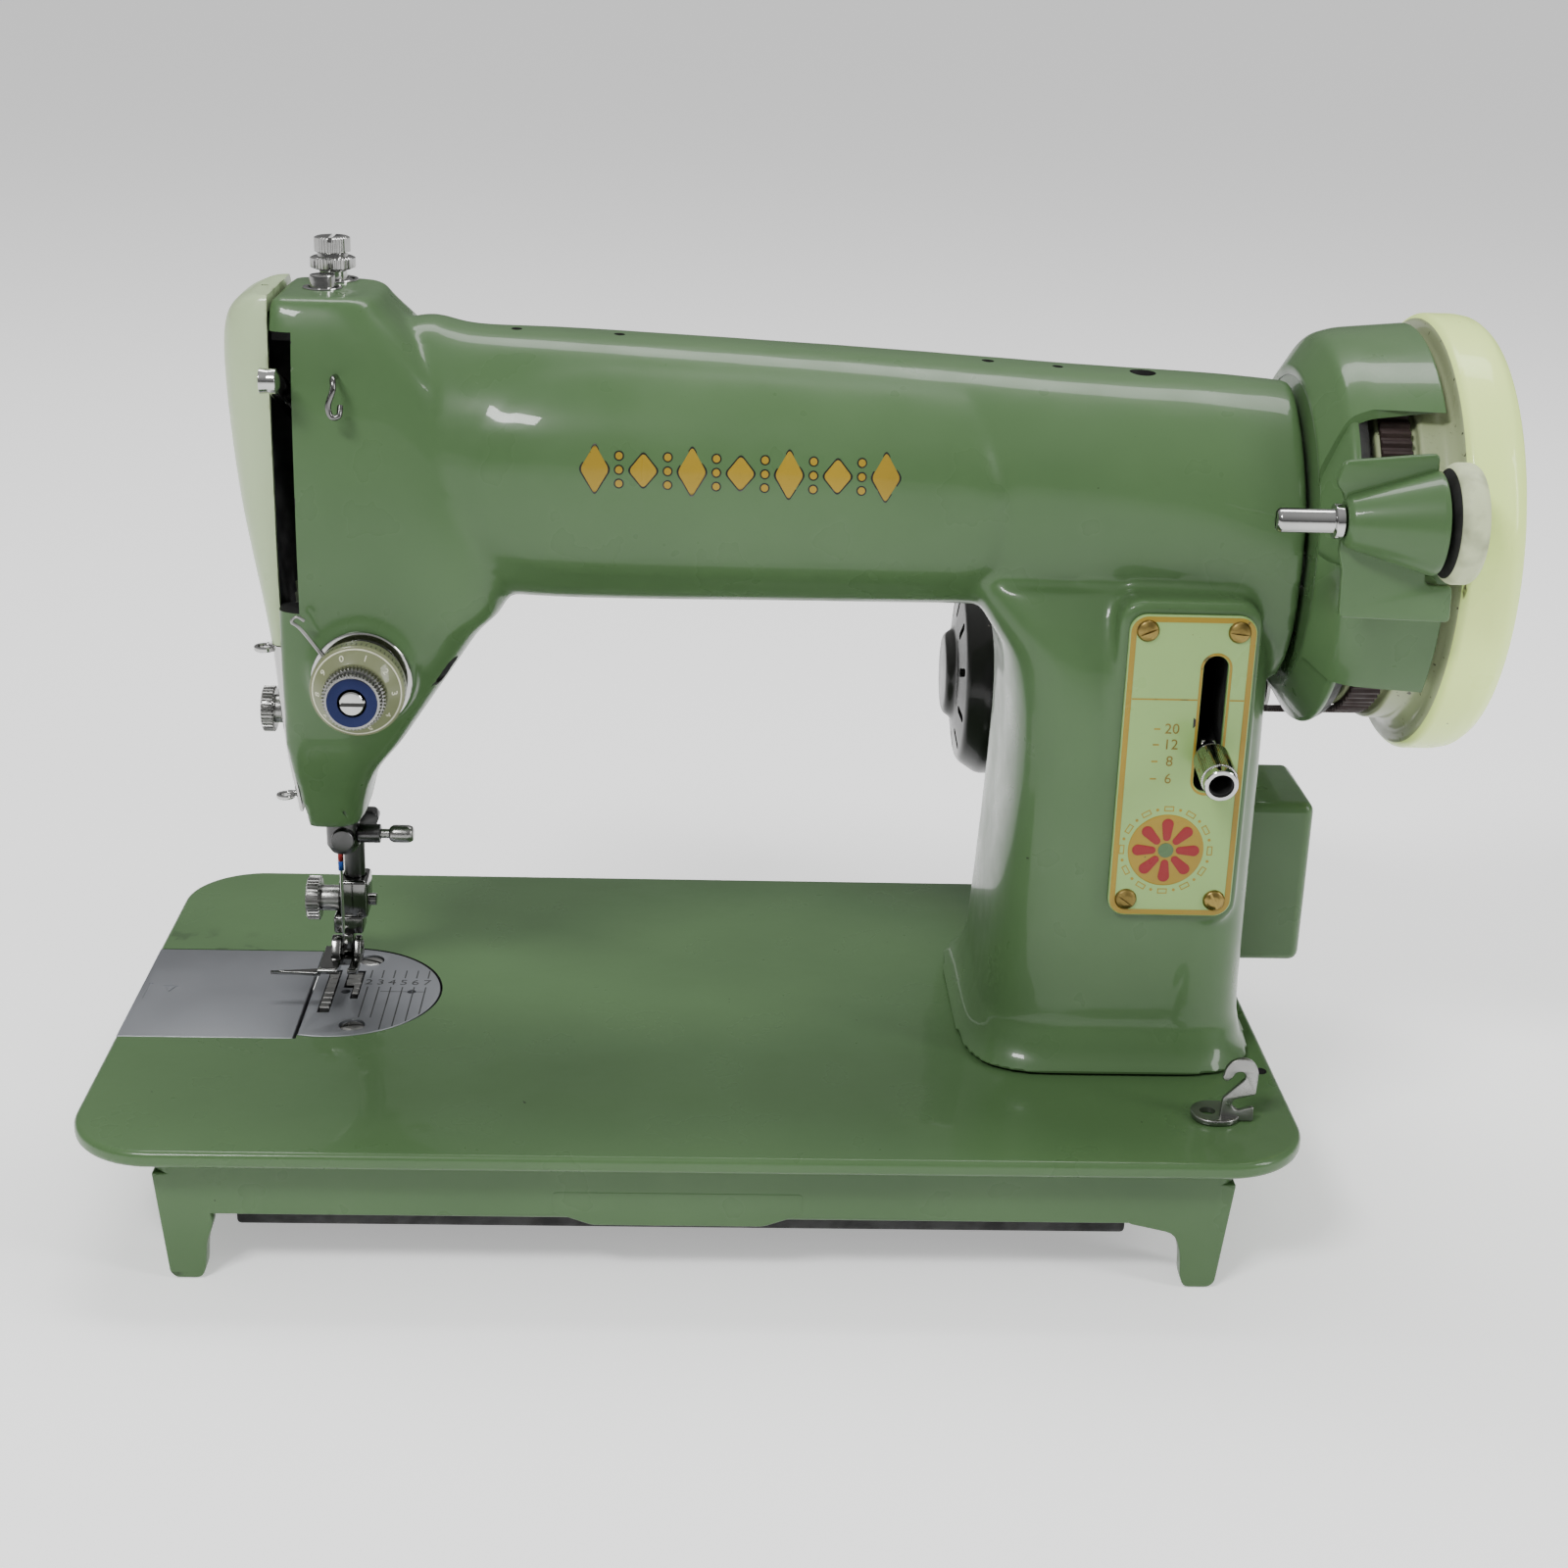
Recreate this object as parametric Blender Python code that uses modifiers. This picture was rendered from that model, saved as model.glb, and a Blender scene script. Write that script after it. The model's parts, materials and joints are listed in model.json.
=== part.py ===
"""Three-quarter-size electric sewing machine, as an assembly of separate pieces.

Every size below is in millimetres, in the machine's own axes: +X points to the
handwheel, +Y to the back and +Z up, with X = Y = 0 at the middle of the bed and
Z = 0 on the table.  The root empty moves all of it so that the whole object's
bottom centre is the world origin.
"""
import math

import bmesh
import bpy
from mathutils import Matrix, Vector

MM = 0.001
GAP = 0.3                       # clearance between pieces that touch
ORIGIN_SHIFT = (-22.5, -22.0)   # bed middle to the middle of the whole object

# Bed
BED_X = 155.0
BED_Y = 89.0
BED_TOP = 40.0
BED_RIM = 4.5
BED_CORNER = 22.0
SKIRT_X0, SKIRT_X1, SKIRT_Y = -134.0, 137.0, 81.0
SKIRT_BOTTOM = 18.5
WALL = 4.0

# Shafts and bars: the arm shaft runs along X, the bars along Z
ARM_Y, ARM_Z = 5.0, 177.5
BAR_X, BAR_Y = -96.6, 3.6       # needle bar
NEEDLE_X, NEEDLE_Y = -97.5, 3.2
PRESSER_X, PRESSER_Y = -95.8, 17.0
LINK_X0, LINK_X1 = -90.6, -88.4
CRANK_X0, CRANK_X1 = -85.9, -81.4
FACE_X = -107.5                 # plane of the head's open left side
HEAD_TOP = 235.0
ARM_END = 151.0
CRANK_R = 15.5

# Presser foot and lifter, at rest in the raised position
FOOT_LIFT = 6.2
FOOT_PIN_Y, FOOT_PIN_Z = 11.6, 50.8
LIFTER_X, LIFTER_Z = -97.0, 152.0

# Hook, feed and plates
HOOK_X, HOOK_Y = -113.6, 4.0
PLATE_X, PLATE_Y, PLATE_R = -99.6, 3.6, 28.5
SLIDE_X0, SLIDE_X1 = -154.5, -107.3
SLIDE_Y0, SLIDE_Y1 = -26.0, 30.0
PLATE_T = 2.5
FEED_SHAFT = (40.0, 23.0)       # Y, Z
HOOK_SHAFT = (-14.0, 23.0)      # Y, Z

# Drive
WHEEL_R = 57.0
DRUM_R = 45.7
FRICTION_R = 49.0
MOTOR_Y, MOTOR_Z, MOTOR_R = 102.0, 105.0, 31.0
PULLEY_R = 8.0
BELT_T = 2.0
BELT_X, BELT_W = 170.0, 7.6
WINDER_Y, WINDER_Z = -60.0, 196.3
WINDER_PIN = (-52.5, 176.5)     # Y, Z

# Tension unit and stitch control
TENSION_X, TENSION_Z = -85.9, 141.0
PAD_Y = -36.6
PANEL_RISE = 2.2
TAKE_UP_PIVOT = (9.6, 203.0)    # Y, Z
TAKE_UP_EYE = (-27.5, 217.3)    # Y, Z
STITCH_X0, STITCH_X1, STITCH_Z0, STITCH_Z1 = 106.5, 138.5, 85.0, 166.0
LEVER_X, LEVER_Y, LEVER_Z = 129.0, 8.0, 137.5
LEVER_REST = math.radians(8.7)

# Colours: base colour, metallic, roughness
GREEN = ((0.15, 0.25, 0.14), 0.0, 0.25)
PALE = ((0.62, 0.72, 0.40), 0.0, 0.3)
CHROME = ((0.75, 0.75, 0.75), 1.0, 0.12)
STEEL = ((0.5, 0.5, 0.5), 1.0, 0.35)
DARK_STEEL = ((0.22, 0.22, 0.23), 1.0, 0.4)
BRASS = ((0.62, 0.45, 0.2), 1.0, 0.35)
BLACK = ((0.02, 0.02, 0.02), 0.0, 0.4)
RUBBER = ((0.03, 0.02, 0.015), 0.0, 0.7)
CREAM = ((0.62, 0.6, 0.45), 0.0, 0.4)

for old in list(bpy.data.objects):
    bpy.data.objects.remove(old, do_unlink=True)
parts = bpy.data.collections.new("sewing_machine")
cutters = bpy.data.collections.new("cutters")
bpy.context.scene.collection.children.link(parts)
bpy.context.scene.collection.children.link(cutters)
root = bpy.data.objects.new("machine_origin", None)
root.location = (ORIGIN_SHIFT[0] * MM, ORIGIN_SHIFT[1] * MM, 0.0)
parts.objects.link(root)


def material(look):
    """The shared material for one of the colours above."""
    colour, metallic, roughness = look
    name = "paint_%02x%02x%02x" % tuple(int(c * 255) for c in colour)
    found = bpy.data.materials.get(name)
    if found:
        return found
    made = bpy.data.materials.new(name)
    made.use_nodes = True
    shader = made.node_tree.nodes["Principled BSDF"]
    shader.inputs["Base Color"].default_value = (*colour, 1.0)
    shader.inputs["Metallic"].default_value = metallic
    shader.inputs["Roughness"].default_value = roughness
    return made


def place(name, data, look=None, at=(0, 0, 0)):
    """Put mesh or curve data in the scene: a piece if it has a look, else a cutter."""
    thing = bpy.data.objects.new(name, data)
    thing.parent = root
    thing.location = Vector(at) * MM
    if look is None:
        thing.hide_render = True
        thing.display_type = "WIRE"
        cutters.objects.link(thing)
    else:
        data.materials.append(material(look))
        parts.objects.link(thing)
    return thing


def from_bmesh(name, bm, look=None, at=(0, 0, 0)):
    bm.transform(Matrix.Scale(MM, 4))
    mesh = bpy.data.meshes.new(name)
    bm.to_mesh(mesh)
    bm.free()
    mesh.shade_smooth()
    mesh.set_sharp_from_angle(angle=math.radians(35))
    return place(name, mesh, look, at)


def box(name, x, y, z, look=None, bevel=0.0):
    """A block between the given (low, high) pairs."""
    bm = bmesh.new()
    bmesh.ops.create_cube(bm, size=1.0)
    size = Vector((x[1] - x[0], y[1] - y[0], z[1] - z[0]))
    middle = Vector((x[0] + x[1], y[0] + y[1], z[0] + z[1])) / 2
    bmesh.ops.scale(bm, vec=size, verts=bm.verts)
    if bevel:
        bmesh.ops.bevel(bm, geom=bm.edges[:], offset=bevel, segments=2, affect="EDGES")
    return from_bmesh(name, bm, look, middle)


AXES = {
    "X": Matrix.Rotation(math.pi / 2, 4, "Y"),
    "Y": Matrix.Rotation(-math.pi / 2, 4, "X"),
    "Z": Matrix.Identity(4),
}


def rod(name, axis, start, length, radius, look=None, sides=16, tip=None):
    """A cylinder, or a cone where tip is given, from start along an axis."""
    bm = bmesh.new()
    end = radius if tip is None else tip
    bmesh.ops.create_cone(bm, cap_ends=True, segments=sides, radius1=radius, radius2=end,
                          depth=length)
    bmesh.ops.translate(bm, vec=(0, 0, length / 2), verts=bm.verts)
    bm.transform(AXES[axis])
    return from_bmesh(name, bm, look, start)


def turned(name, axis, centre, profile, look=None, sides=20):
    """Turn a closed (along, radius) outline about an axis through centre.

    The outline runs so that the solid is on its right, seen with the axis pointing
    up and the radius to the right.  Points at radius 0 may start and end it.
    """
    mesh = bpy.data.meshes.new(name)
    closed = profile[0][1] > 0 or profile[-1][1] > 0
    points = [(radius * MM, 0.0, along * MM) for along, radius in profile]
    count = len(points)
    edges = [(i, i + 1) for i in range(count - 1)]
    if closed:
        edges.append((count - 1, 0))
    mesh.from_pydata(points, edges, [])
    thing = place(name, mesh, look, centre)
    thing.rotation_euler = AXES[axis].to_euler()
    screw = thing.modifiers.new("turn", "SCREW")
    screw.steps = sides
    screw.render_steps = sides
    screw.use_merge_vertices = True
    screw.merge_threshold = 0.00001
    return thing


def ring(name, axis, centre, along, radii, look=None, sides=20):
    """A plain tube: along is (low, high) and radii is (bore, outside)."""
    low, high = along
    bore, outside = radii
    outline = [(high, bore), (high, outside), (low, outside), (low, bore)]
    return turned(name, axis, centre, outline, look, sides)


def knurled(name, axis, centre, along, radius, bore, look=None, teeth=16, depth=0.5):
    """A knurled disc or barrel, with a bore if bore is over 0."""
    bm = bmesh.new()
    low, high = along
    outer = []
    for z in (low, high):
        row = []
        for i in range(teeth * 2):
            turn = math.pi * i / teeth
            r = radius - (depth if i % 2 else 0.0)
            row.append(bm.verts.new((r * math.cos(turn), r * math.sin(turn), z)))
        outer.append(row)
    bridge_rows(bm, outer[0], outer[1])
    if bore:
        inner = []
        for z in (low, high):
            row = []
            for i in range(teeth * 2):
                turn = math.pi * i / teeth
                row.append(bm.verts.new((bore * math.cos(turn), bore * math.sin(turn), z)))
            inner.append(row)
        bridge_rows(bm, inner[1], inner[0])
        bridge_rows(bm, inner[0], outer[0])
        bridge_rows(bm, outer[1], inner[1])
    else:
        bm.faces.new(outer[0][::-1])
        bm.faces.new(outer[1])
    bm.transform(AXES[axis])
    return from_bmesh(name, bm, look, centre)


def bridge_rows(bm, lower, upper):
    count = len(lower)
    for i in range(count):
        j = (i + 1) % count
        bm.faces.new((lower[i], lower[j], upper[j], upper[i]))


def face_out(bm):
    """Turn the faces of a closed mesh outwards."""
    bmesh.ops.recalc_face_normals(bm, faces=bm.faces[:])
    if bm.calc_volume(signed=True) < 0:
        bmesh.ops.reverse_faces(bm, faces=bm.faces[:])


def loft(name, sections, look=None):
    """Skin equal-length rings of points, capped at both ends."""
    bm = bmesh.new()
    rows = [[bm.verts.new(point) for point in section] for section in sections]
    for lower, upper in zip(rows, rows[1:]):
        bridge_rows(bm, lower, upper)
    bm.faces.new(rows[0][::-1])
    bm.faces.new(rows[-1])
    face_out(bm)
    return from_bmesh(name, bm, look)


def prism(name, axis, outline, low, high, look=None, holes=()):
    """Extrude a closed outline of (u, v) points from low to high along an axis.

    (u, v) is (x, y) along Z, (y, z) along X and (x, z) along Y.
    """
    bm = bmesh.new()
    turn = {
        "Z": Matrix.Identity(4),
        "X": Matrix(((0, 0, 1, 0), (1, 0, 0, 0), (0, 1, 0, 0), (0, 0, 0, 1))),
        "Y": Matrix(((1, 0, 0, 0), (0, 0, 1, 0), (0, 1, 0, 0), (0, 0, 0, 1))),
    }[axis]
    edges = []
    for loop in (outline, *holes):
        verts = [bm.verts.new((u, v, low)) for u, v in loop]
        edges += [bm.edges.new((a, b)) for a, b in zip(verts, verts[1:] + verts[:1])]
    bmesh.ops.triangle_fill(bm, edges=edges, use_beauty=True)
    flat = bm.faces[:]
    top = bmesh.ops.extrude_face_region(bm, geom=flat)
    moved = [item for item in top["geom"] if isinstance(item, bmesh.types.BMVert)]
    bmesh.ops.translate(bm, vec=(0, 0, high - low), verts=moved)
    bm.transform(turn)
    face_out(bm)
    return from_bmesh(name, bm, look)


def arc(cx, cy, radius, start, end, steps):
    """Points on an arc, in degrees, both ends included."""
    turns = [math.radians(start + (end - start) * i / steps) for i in range(steps + 1)]
    return [(cx + radius * math.cos(t), cy + radius * math.sin(t)) for t in turns]


def circle(cx, cy, radius, sides=20):
    return arc(cx, cy, radius, 0, 360 - 360 / sides, sides - 1)


def rounded(x0, x1, y0, y1, radius, steps=5):
    """A rectangle with round corners."""
    return (arc(x1 - radius, y1 - radius, radius, 0, 90, steps)
            + arc(x0 + radius, y1 - radius, radius, 90, 180, steps)
            + arc(x0 + radius, y0 + radius, radius, 180, 270, steps)
            + arc(x1 - radius, y0 + radius, radius, 270, 360, steps))


def stadium(p, q, radius_p, radius_q, steps=8):
    """The outline round two circles, such as a link's."""
    way = math.degrees(math.atan2(q[1] - p[1], q[0] - p[0]))
    apart = math.hypot(q[0] - p[0], q[1] - p[1])
    lean = math.degrees(math.acos((radius_p - radius_q) / apart))
    return (arc(p[0], p[1], radius_p, way + lean, way + 360 - lean, steps)
            + arc(q[0], q[1], radius_q, way - lean, way + lean, steps))


def wire(name, points, radius, look=None):
    """A round wire through the points, as a closed mesh."""
    curve = bpy.data.curves.new(name + "_curve", "CURVE")
    curve.dimensions = "3D"
    curve.bevel_depth = radius * MM
    curve.bevel_resolution = 2
    curve.use_fill_caps = True
    spline = curve.splines.new("POLY")
    spline.points.add(len(points) - 1)
    for point, place_mm in zip(spline.points, points):
        point.co = (*(Vector(place_mm) * MM), 1.0)
    guide = bpy.data.objects.new(name + "_guide", curve)
    cutters.objects.link(guide)
    graph = bpy.context.evaluated_depsgraph_get()
    graph.update()
    mesh = bpy.data.meshes.new_from_object(guide.evaluated_get(graph))
    bpy.data.objects.remove(guide, do_unlink=True)
    bm = bmesh.new()
    bm.from_mesh(mesh)
    bmesh.ops.remove_doubles(bm, verts=bm.verts, dist=0.00001)
    bm.to_mesh(mesh)
    bm.free()
    mesh.materials.clear()
    mesh.shade_smooth()
    return place(name, mesh, look)


def combine(target, other, operation):
    change = target.modifiers.new(other.name, "BOOLEAN")
    change.operation = operation
    change.solver = "EXACT"
    change.object = other
    return target


def join(target, *others):
    for other in others:
        combine(target, other, "UNION")
    return target


def cut(target, *others):
    for other in others:
        combine(target, other, "DIFFERENCE")
    return target


# ------------------------------------------------------------------ casting shapes

def squircle(x0, x1, y0, y1, power, count=24):
    """A rectangle-like ring of (x, y) points; a higher power is squarer."""
    cx, cy = (x0 + x1) / 2, (y0 + y1) / 2
    ring_points = []
    for i in range(count):
        turn = 2 * math.pi * (i + 0.5) / count
        c, s = math.cos(turn), math.sin(turn)
        x = math.copysign(abs(c) ** (2 / power), c) * (x1 - x0) / 2
        y = math.copysign(abs(s) ** (2 / power), s) * (y1 - y0) / 2
        ring_points.append((cx + x, cy + y))
    return ring_points


# Head and nose, from the bottom up: height, x low, x high, y low, y high
HEAD = (
    (93.0, -103.8, -90.2, -7.5, 27.0),
    (97.0, -104.5, -89.3, -9.0, 28.0),
    (104.0, -105.6, -87.5, -11.5, 28.5),
    (111.0, -106.6, -84.0, -14.5, 29.0),
    (118.0, FACE_X, -78.5, -17.5, 29.5),
    (127.0, FACE_X, -72.5, -20.0, 30.0),
    (139.0, FACE_X, -64.5, -22.0, 31.0),
    (150.0, FACE_X, -57.0, -22.8, 31.5),
    (158.0, FACE_X, -50.0, -23.0, 32.0),
    (175.0, FACE_X, -50.0, -23.0, 32.0),
    (195.0, FACE_X, -55.0, -22.0, 31.0),
    (212.0, FACE_X, -62.0, -20.5, 30.0),
    (224.0, FACE_X, -72.0, -18.0, 28.0),
    (231.0, FACE_X, -79.0, -15.5, 25.0),
    (HEAD_TOP, FACE_X, -82.0, -13.0, 22.5),
)

# Arm, from the head to the wheel: x, top, bottom, half depth, squareness
ARM = (
    (-92.0, 221.0, 164.0, 21.0, 3.0),
    (-72.0, 228.5, 161.0, 24.5, 3.0),
    (-58.0, 226.4, 159.0, 27.0, 3.0),
    (-30.0, 225.6, 158.0, 28.5, 3.2),
    (40.0, 222.5, 158.5, 29.0, 3.2),
    (95.0, 219.4, 158.0, 29.5, 3.2),
    (125.0, 218.2, 150.0, 31.0, 3.0),
    (142.0, 217.3, 141.0, 33.0, 2.6),
    (ARM_END, 216.5, 138.5, 34.0, 2.4),
)

# Pillar, from the bed up: height, x low, x high, y low, y high
PILLAR = (
    (BED_TOP + GAP, 69.0, 152.5, -45.0, 51.0),
    (43.0, 73.5, 150.0, -41.5, 48.0),
    (49.0, 76.5, 148.3, -38.8, 46.0),
    (60.0, 78.0, 147.6, -37.0, 45.0),
    (120.0, 81.0, 147.3, -36.0, 44.0),
    (146.0, 79.0, 147.3, -34.5, 42.0),
    (158.0, 73.0, 147.5, -31.5, 39.0),
    (168.0, 66.0, 147.0, -26.0, 34.0),
)


def arm_ring(x, top, bottom, half, power, count=24):
    """One arm section: a squircle that narrows towards its flat top."""
    middle = (top + bottom) / 2
    points = []
    for y, z in squircle(-half, half, bottom, top, power, count):
        rise = max(0.0, (z - middle) / (top - middle))
        points.append((x, ARM_Y + y * (1 - 0.42 * rise ** 2.2), z))
    return points


def panel_ring(x, drop):
    """The raised front panel's section: the arm's, moved forward and lowered by drop."""
    along = (x + 58.0) / 153.0
    top = 226.4 - 7.0 * along
    points = arm_ring(x, top - drop, 161.0 + 0.5 * drop, 28.6, 3.2)
    return [(px, py - PANEL_RISE, pz) for px, py, pz in points]


def head_solid():
    rings = []
    for z, x0, x1, y0, y1 in HEAD:
        # the ring is drawn wider and then pressed flat at the open left side
        points = squircle(x0 - 5.0, x1, y0, y1, 4.0)
        rings.append([(max(x, x0), y, z) for x, y in points])
    return loft("head_body", rings)


def arm_casting():
    casting = loft("arm_casting", [arm_ring(*row) for row in ARM], GREEN)
    pillar = loft("pillar_body", [
        [(x, y, z) for x, y in squircle(x0, x1, y0, y1, 4.5)] for z, x0, x1, y0, y1 in PILLAR
    ])
    pad = prism("plate_pad", "Y", rounded(STITCH_X0 - 2.5, STITCH_X1 + 2.0, STITCH_Z0 - 3.0,
                                          STITCH_Z1 + 3.0, 6.0), PAD_Y, -20.0)
    boss = rod("tension_boss", "Y", (TENSION_X, -24.6, TENSION_Z), 16.0, 13.8, sides=32)
    panel = loft("front_panel", [panel_ring(x, drop) for x, drop in
                                 ((-62.0, 14.0), (-59.0, 6.0), (-54.0, 2.0), (66.0, 2.0),
                                  (72.0, 5.0), (76.0, 12.0), (77.0, 20.0))])
    join(casting, head_solid(), pillar, pad, boss, panel)
    cavities = [
        box("head_room", (-112.0, -83.0), (-11.0, 23.5), (118.2, 224.0)),
        rod("crank_room", "X", (-94.3, ARM_Y, ARM_Z), 13.4, 19.4, sides=32),
        rod("shaft_tunnel", "X", (-90.0, ARM_Y, ARM_Z), 250.0, 9.0),
        box("arm_room", (-58.0, 118.0), (-15.0, 25.0), (163.5, 195.0)),
        box("pillar_room", (95.0, 128.8), (-26.0, 36.0), (30.0, 150.0)),
        box("eccentric_room", (95.0, 128.8), (-14.3, 24.3), (140.0, 198.0)),
        box("take_up_slot", (-112.0, -101.6), (-40.0, -10.0), (157.0, 227.2)),
        rod("needle_bar_top_bore", "Z", (BAR_X, BAR_Y, 215.0), 30.0, 3.6, sides=16),
        rod("needle_bar_nose_bore", "Z", (BAR_X, BAR_Y, 85.0), 36.0, 3.5, sides=16),
        rod("presser_top_bore", "Z", (PRESSER_X, PRESSER_Y, 215.0), 30.0, 5.4, sides=16),
        rod("presser_nose_bore", "Z", (PRESSER_X, PRESSER_Y, 85.0), 36.0, 3.3, sides=16),
        rod("lifter_bore", "Y", (LIFTER_X, 20.0, LIFTER_Z), 20.0, 3.4, sides=16),
        rod("tension_bore", "Y", (TENSION_X, -40.0, TENSION_Z), 30.2, 3.5, sides=16),
        box("lever_slot", (LEVER_X - 3.2, LEVER_X + 3.2), (-45.0, -20.0), (119.0, 156.5)),
        rod("lever_pin_bore", "X", (120.0, LEVER_Y, LEVER_Z), 22.0, 2.4, sides=16),
        box("lever_room", (123.0, 134.0), (-22.0, 20.0), (112.0, 160.0)),
        rod("take_up_pin_bore", "X", (-95.0, *TAKE_UP_PIVOT), 22.0, 2.3),
    ]
    oil_holes = ((-48.0, 1.4), (-22.0, 1.4), (72.0, 1.6), (90.0, 1.4), (112.0, 3.4))
    for number, (x, radius) in enumerate(oil_holes, 1):
        cavities.append(rod("oil_hole_%d" % number, "Z", (x, ARM_Y - 2.0, 212.0), 22.0, radius,
                            sides=12))
    cut(casting, *cavities)


# ------------------------------------------------------------------ bed

def plate_outline(extra):
    """The half-round needle plate, grown by extra, cut straight at the slide plate."""
    radius = PLATE_R + extra
    edge = SLIDE_X1 + GAP - extra
    half = math.degrees(math.acos((edge - PLATE_X) / radius))
    return arc(PLATE_X, PLATE_Y, radius, -half, half, 20)


def bed_casting():
    slab = rounded(-BED_X, BED_X, -BED_Y, BED_Y, BED_CORNER, 8)
    casting = prism("bed_casting", "Z", slab, BED_TOP - BED_RIM, BED_TOP, GREEN)
    bevel = casting.modifiers.new("rim_edge", "BEVEL")
    bevel.width = 1.8 * MM
    bevel.segments = 2
    bevel.limit_method = "ANGLE"
    bevel.angle_limit = math.radians(60)
    skirt = prism("skirt", "Z", rounded(SKIRT_X0, SKIRT_X1, -SKIRT_Y, SKIRT_Y, 5.0, 3),
                  SKIRT_BOTTOM, BED_TOP - 2.5,
                  holes=[rounded(SKIRT_X0 + WALL, SKIRT_X1 - WALL, -SKIRT_Y + WALL,
                                 SKIRT_Y - WALL, 2.0, 3)])
    additions = [skirt]
    for side, x in (("left", SKIRT_X0), ("right", SKIRT_X1)):
        inward = 1 if side == "left" else -1
        sweep = 14.0 if side == "left" else 28.0
        for end, y in (("front", -1), ("back", 1)):
            leg = [(x, 30.0), (x + inward * 3.0, 1.5), (x + inward * 4.5, 0.0)]
            leg += [(x + inward * 11.0, 0.0), (x + inward * 12.2, 3.0)]
            leg += [(x + inward * 12.6, 10.0), (x + inward * 14.5, SKIRT_BOTTOM - 3.0)]
            leg += [(x + inward * sweep, SKIRT_BOTTOM + 0.1), (x + inward * sweep, 30.0)]
            low, high = sorted((y * SKIRT_Y, y * (SKIRT_Y - 5.0)))
            additions.append(prism("leg_%s_%s" % (side, end), "Y", leg, low, high))
            span = sorted((y * SKIRT_Y, y * (SKIRT_Y - 10.0)))
            flank = [(x, 30.0), (x + inward * 3.0, 1.5), (x + inward * 4.5, 0.0),
                     (x + inward * 7.5, 0.0), (x + inward * 5.0, 30.0)]
            additions.append(prism("leg_side_%s_%s" % (side, end), "Y", flank, *span))
    tab = [(-35.0, 20.0), (-25.0, 16.4), (18.0, 16.4), (28.0, 20.0), (28.0, 26.0), (-35.0, 26.0)]
    additions.append(prism("front_tab", "Y", tab, -SKIRT_Y, -SKIRT_Y + WALL))
    for shaft_y, shaft_z in (FEED_SHAFT, HOOK_SHAFT):
        for x in (-78.0, 84.0):
            additions.append(box("bearing_%d_%d" % (shaft_y, x), (x, x + 8.0),
                                 (shaft_y - 7.5, shaft_y + 7.5), (shaft_z - 7.5, 37.0)))
    additions.append(rod("pan_post", "Z", (0.0, 15.0, 12.0), 25.0, 5.0, sides=16))
    join(casting, *additions)
    cut(casting,
        box("slide_recess", (-170.0, SLIDE_X1 + 0.5), (SLIDE_Y0 - GAP, SLIDE_Y1 + GAP),
            (BED_TOP - PLATE_T - GAP, 50.0)),
        prism("plate_recess", "Z", plate_outline(GAP), BED_TOP - PLATE_T - GAP, 50.0),
        prism("hook_opening", "Z",
              [(-129.0, -22.0), (SLIDE_X1, -22.0)]
              + arc(PLATE_X, PLATE_Y, 24.5, -70, 70, 16)
              + [(SLIDE_X1, 26.0), (-129.0, 26.0)], 28.0, 39.0),
        box("rod_opening", (96.0, 127.8), (-25.0, 35.0), (28.0, 45.0)),
        rod("feed_shaft_bore", "X", (-90.0, *FEED_SHAFT), 195.0, 4.4, sides=16),
        rod("hook_shaft_bore", "X", (-84.0, *HOOK_SHAFT), 190.0, 4.4, sides=16),
        rod("pan_screw_bore", "Z", (0.0, 15.0, 5.0), 20.0, 1.9, sides=12),
        rod("bed_oil_hole", "Z", (151.0, -38.0, 30.0), 15.0, 1.9, sides=12))


def drip_pan():
    pan = box("drip_pan", (-116.0, 112.0), (-70.0, 70.0), (9.0, 15.0), BLACK)
    cut(pan, box("pan_inside", (-114.8, 110.8), (-68.8, 68.8), (10.2, 25.0)),
        rod("pan_hole", "Z", (0.0, 15.0, 0.0), 20.0, 2.4, sides=12))
    nut = knurled("drip_pan_nut", "Z", (0.0, 15.0, 0.0), (4.7, 8.7), 7.0, 0, STEEL, teeth=14)
    join(nut, rod("pan_screw", "Z", (0.0, 15.0, 8.0), 12.0, 1.6, sides=12))


def plates():
    plate = prism("needle_plate", "Z", plate_outline(-GAP), BED_TOP - PLATE_T, BED_TOP, CHROME)
    cut(plate,
        rod("needle_hole", "Z", (NEEDLE_X, NEEDLE_Y, 30.0), 20.0, 1.3, sides=12),
        box("feed_slot_left", (-103.6, -100.3), (-10.2, 17.4), (30.0, 45.0)),
        box("feed_slot_right", (-98.5, -93.7), (5.6, 17.0), (30.0, 45.0)),
        box("feed_slot_front", (-95.9, -93.7), (-1.3, 6.0), (30.0, 45.0)))
    for name, y in (("front", -17.5), ("back", 24.2)):
        spot = (-93.0, y, 0.0)
        cut(plate, rod("plate_%s_countersink" % name, "Z", (spot[0], spot[1], 38.4), 5.0, 3.5),
            rod("plate_%s_hole" % name, "Z", (spot[0], spot[1], 30.0), 15.0, 2.0, sides=12))
        screw = turned("needle_plate_screw_" + name, "Z", (spot[0], spot[1], 38.7),
                       [(1.2, 0.0), (1.1, 2.2), (0.8, 3.2), (0.0, 3.2), (0.0, 1.6), (-1.0, 1.6),
                        (-1.0, 0.0)], STEEL, 16)
        cut(screw, box("plate_%s_screw_slot" % name, (-97.0, -89.0), (y - 0.4, y + 0.4),
                       (39.5, 42.0)))
    box("slide_plate", (SLIDE_X0, SLIDE_X1 - GAP), (SLIDE_Y0, SLIDE_Y1),
        (BED_TOP - PLATE_T, BED_TOP), STEEL, bevel=0.25)


# ------------------------------------------------------------------ head

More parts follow.
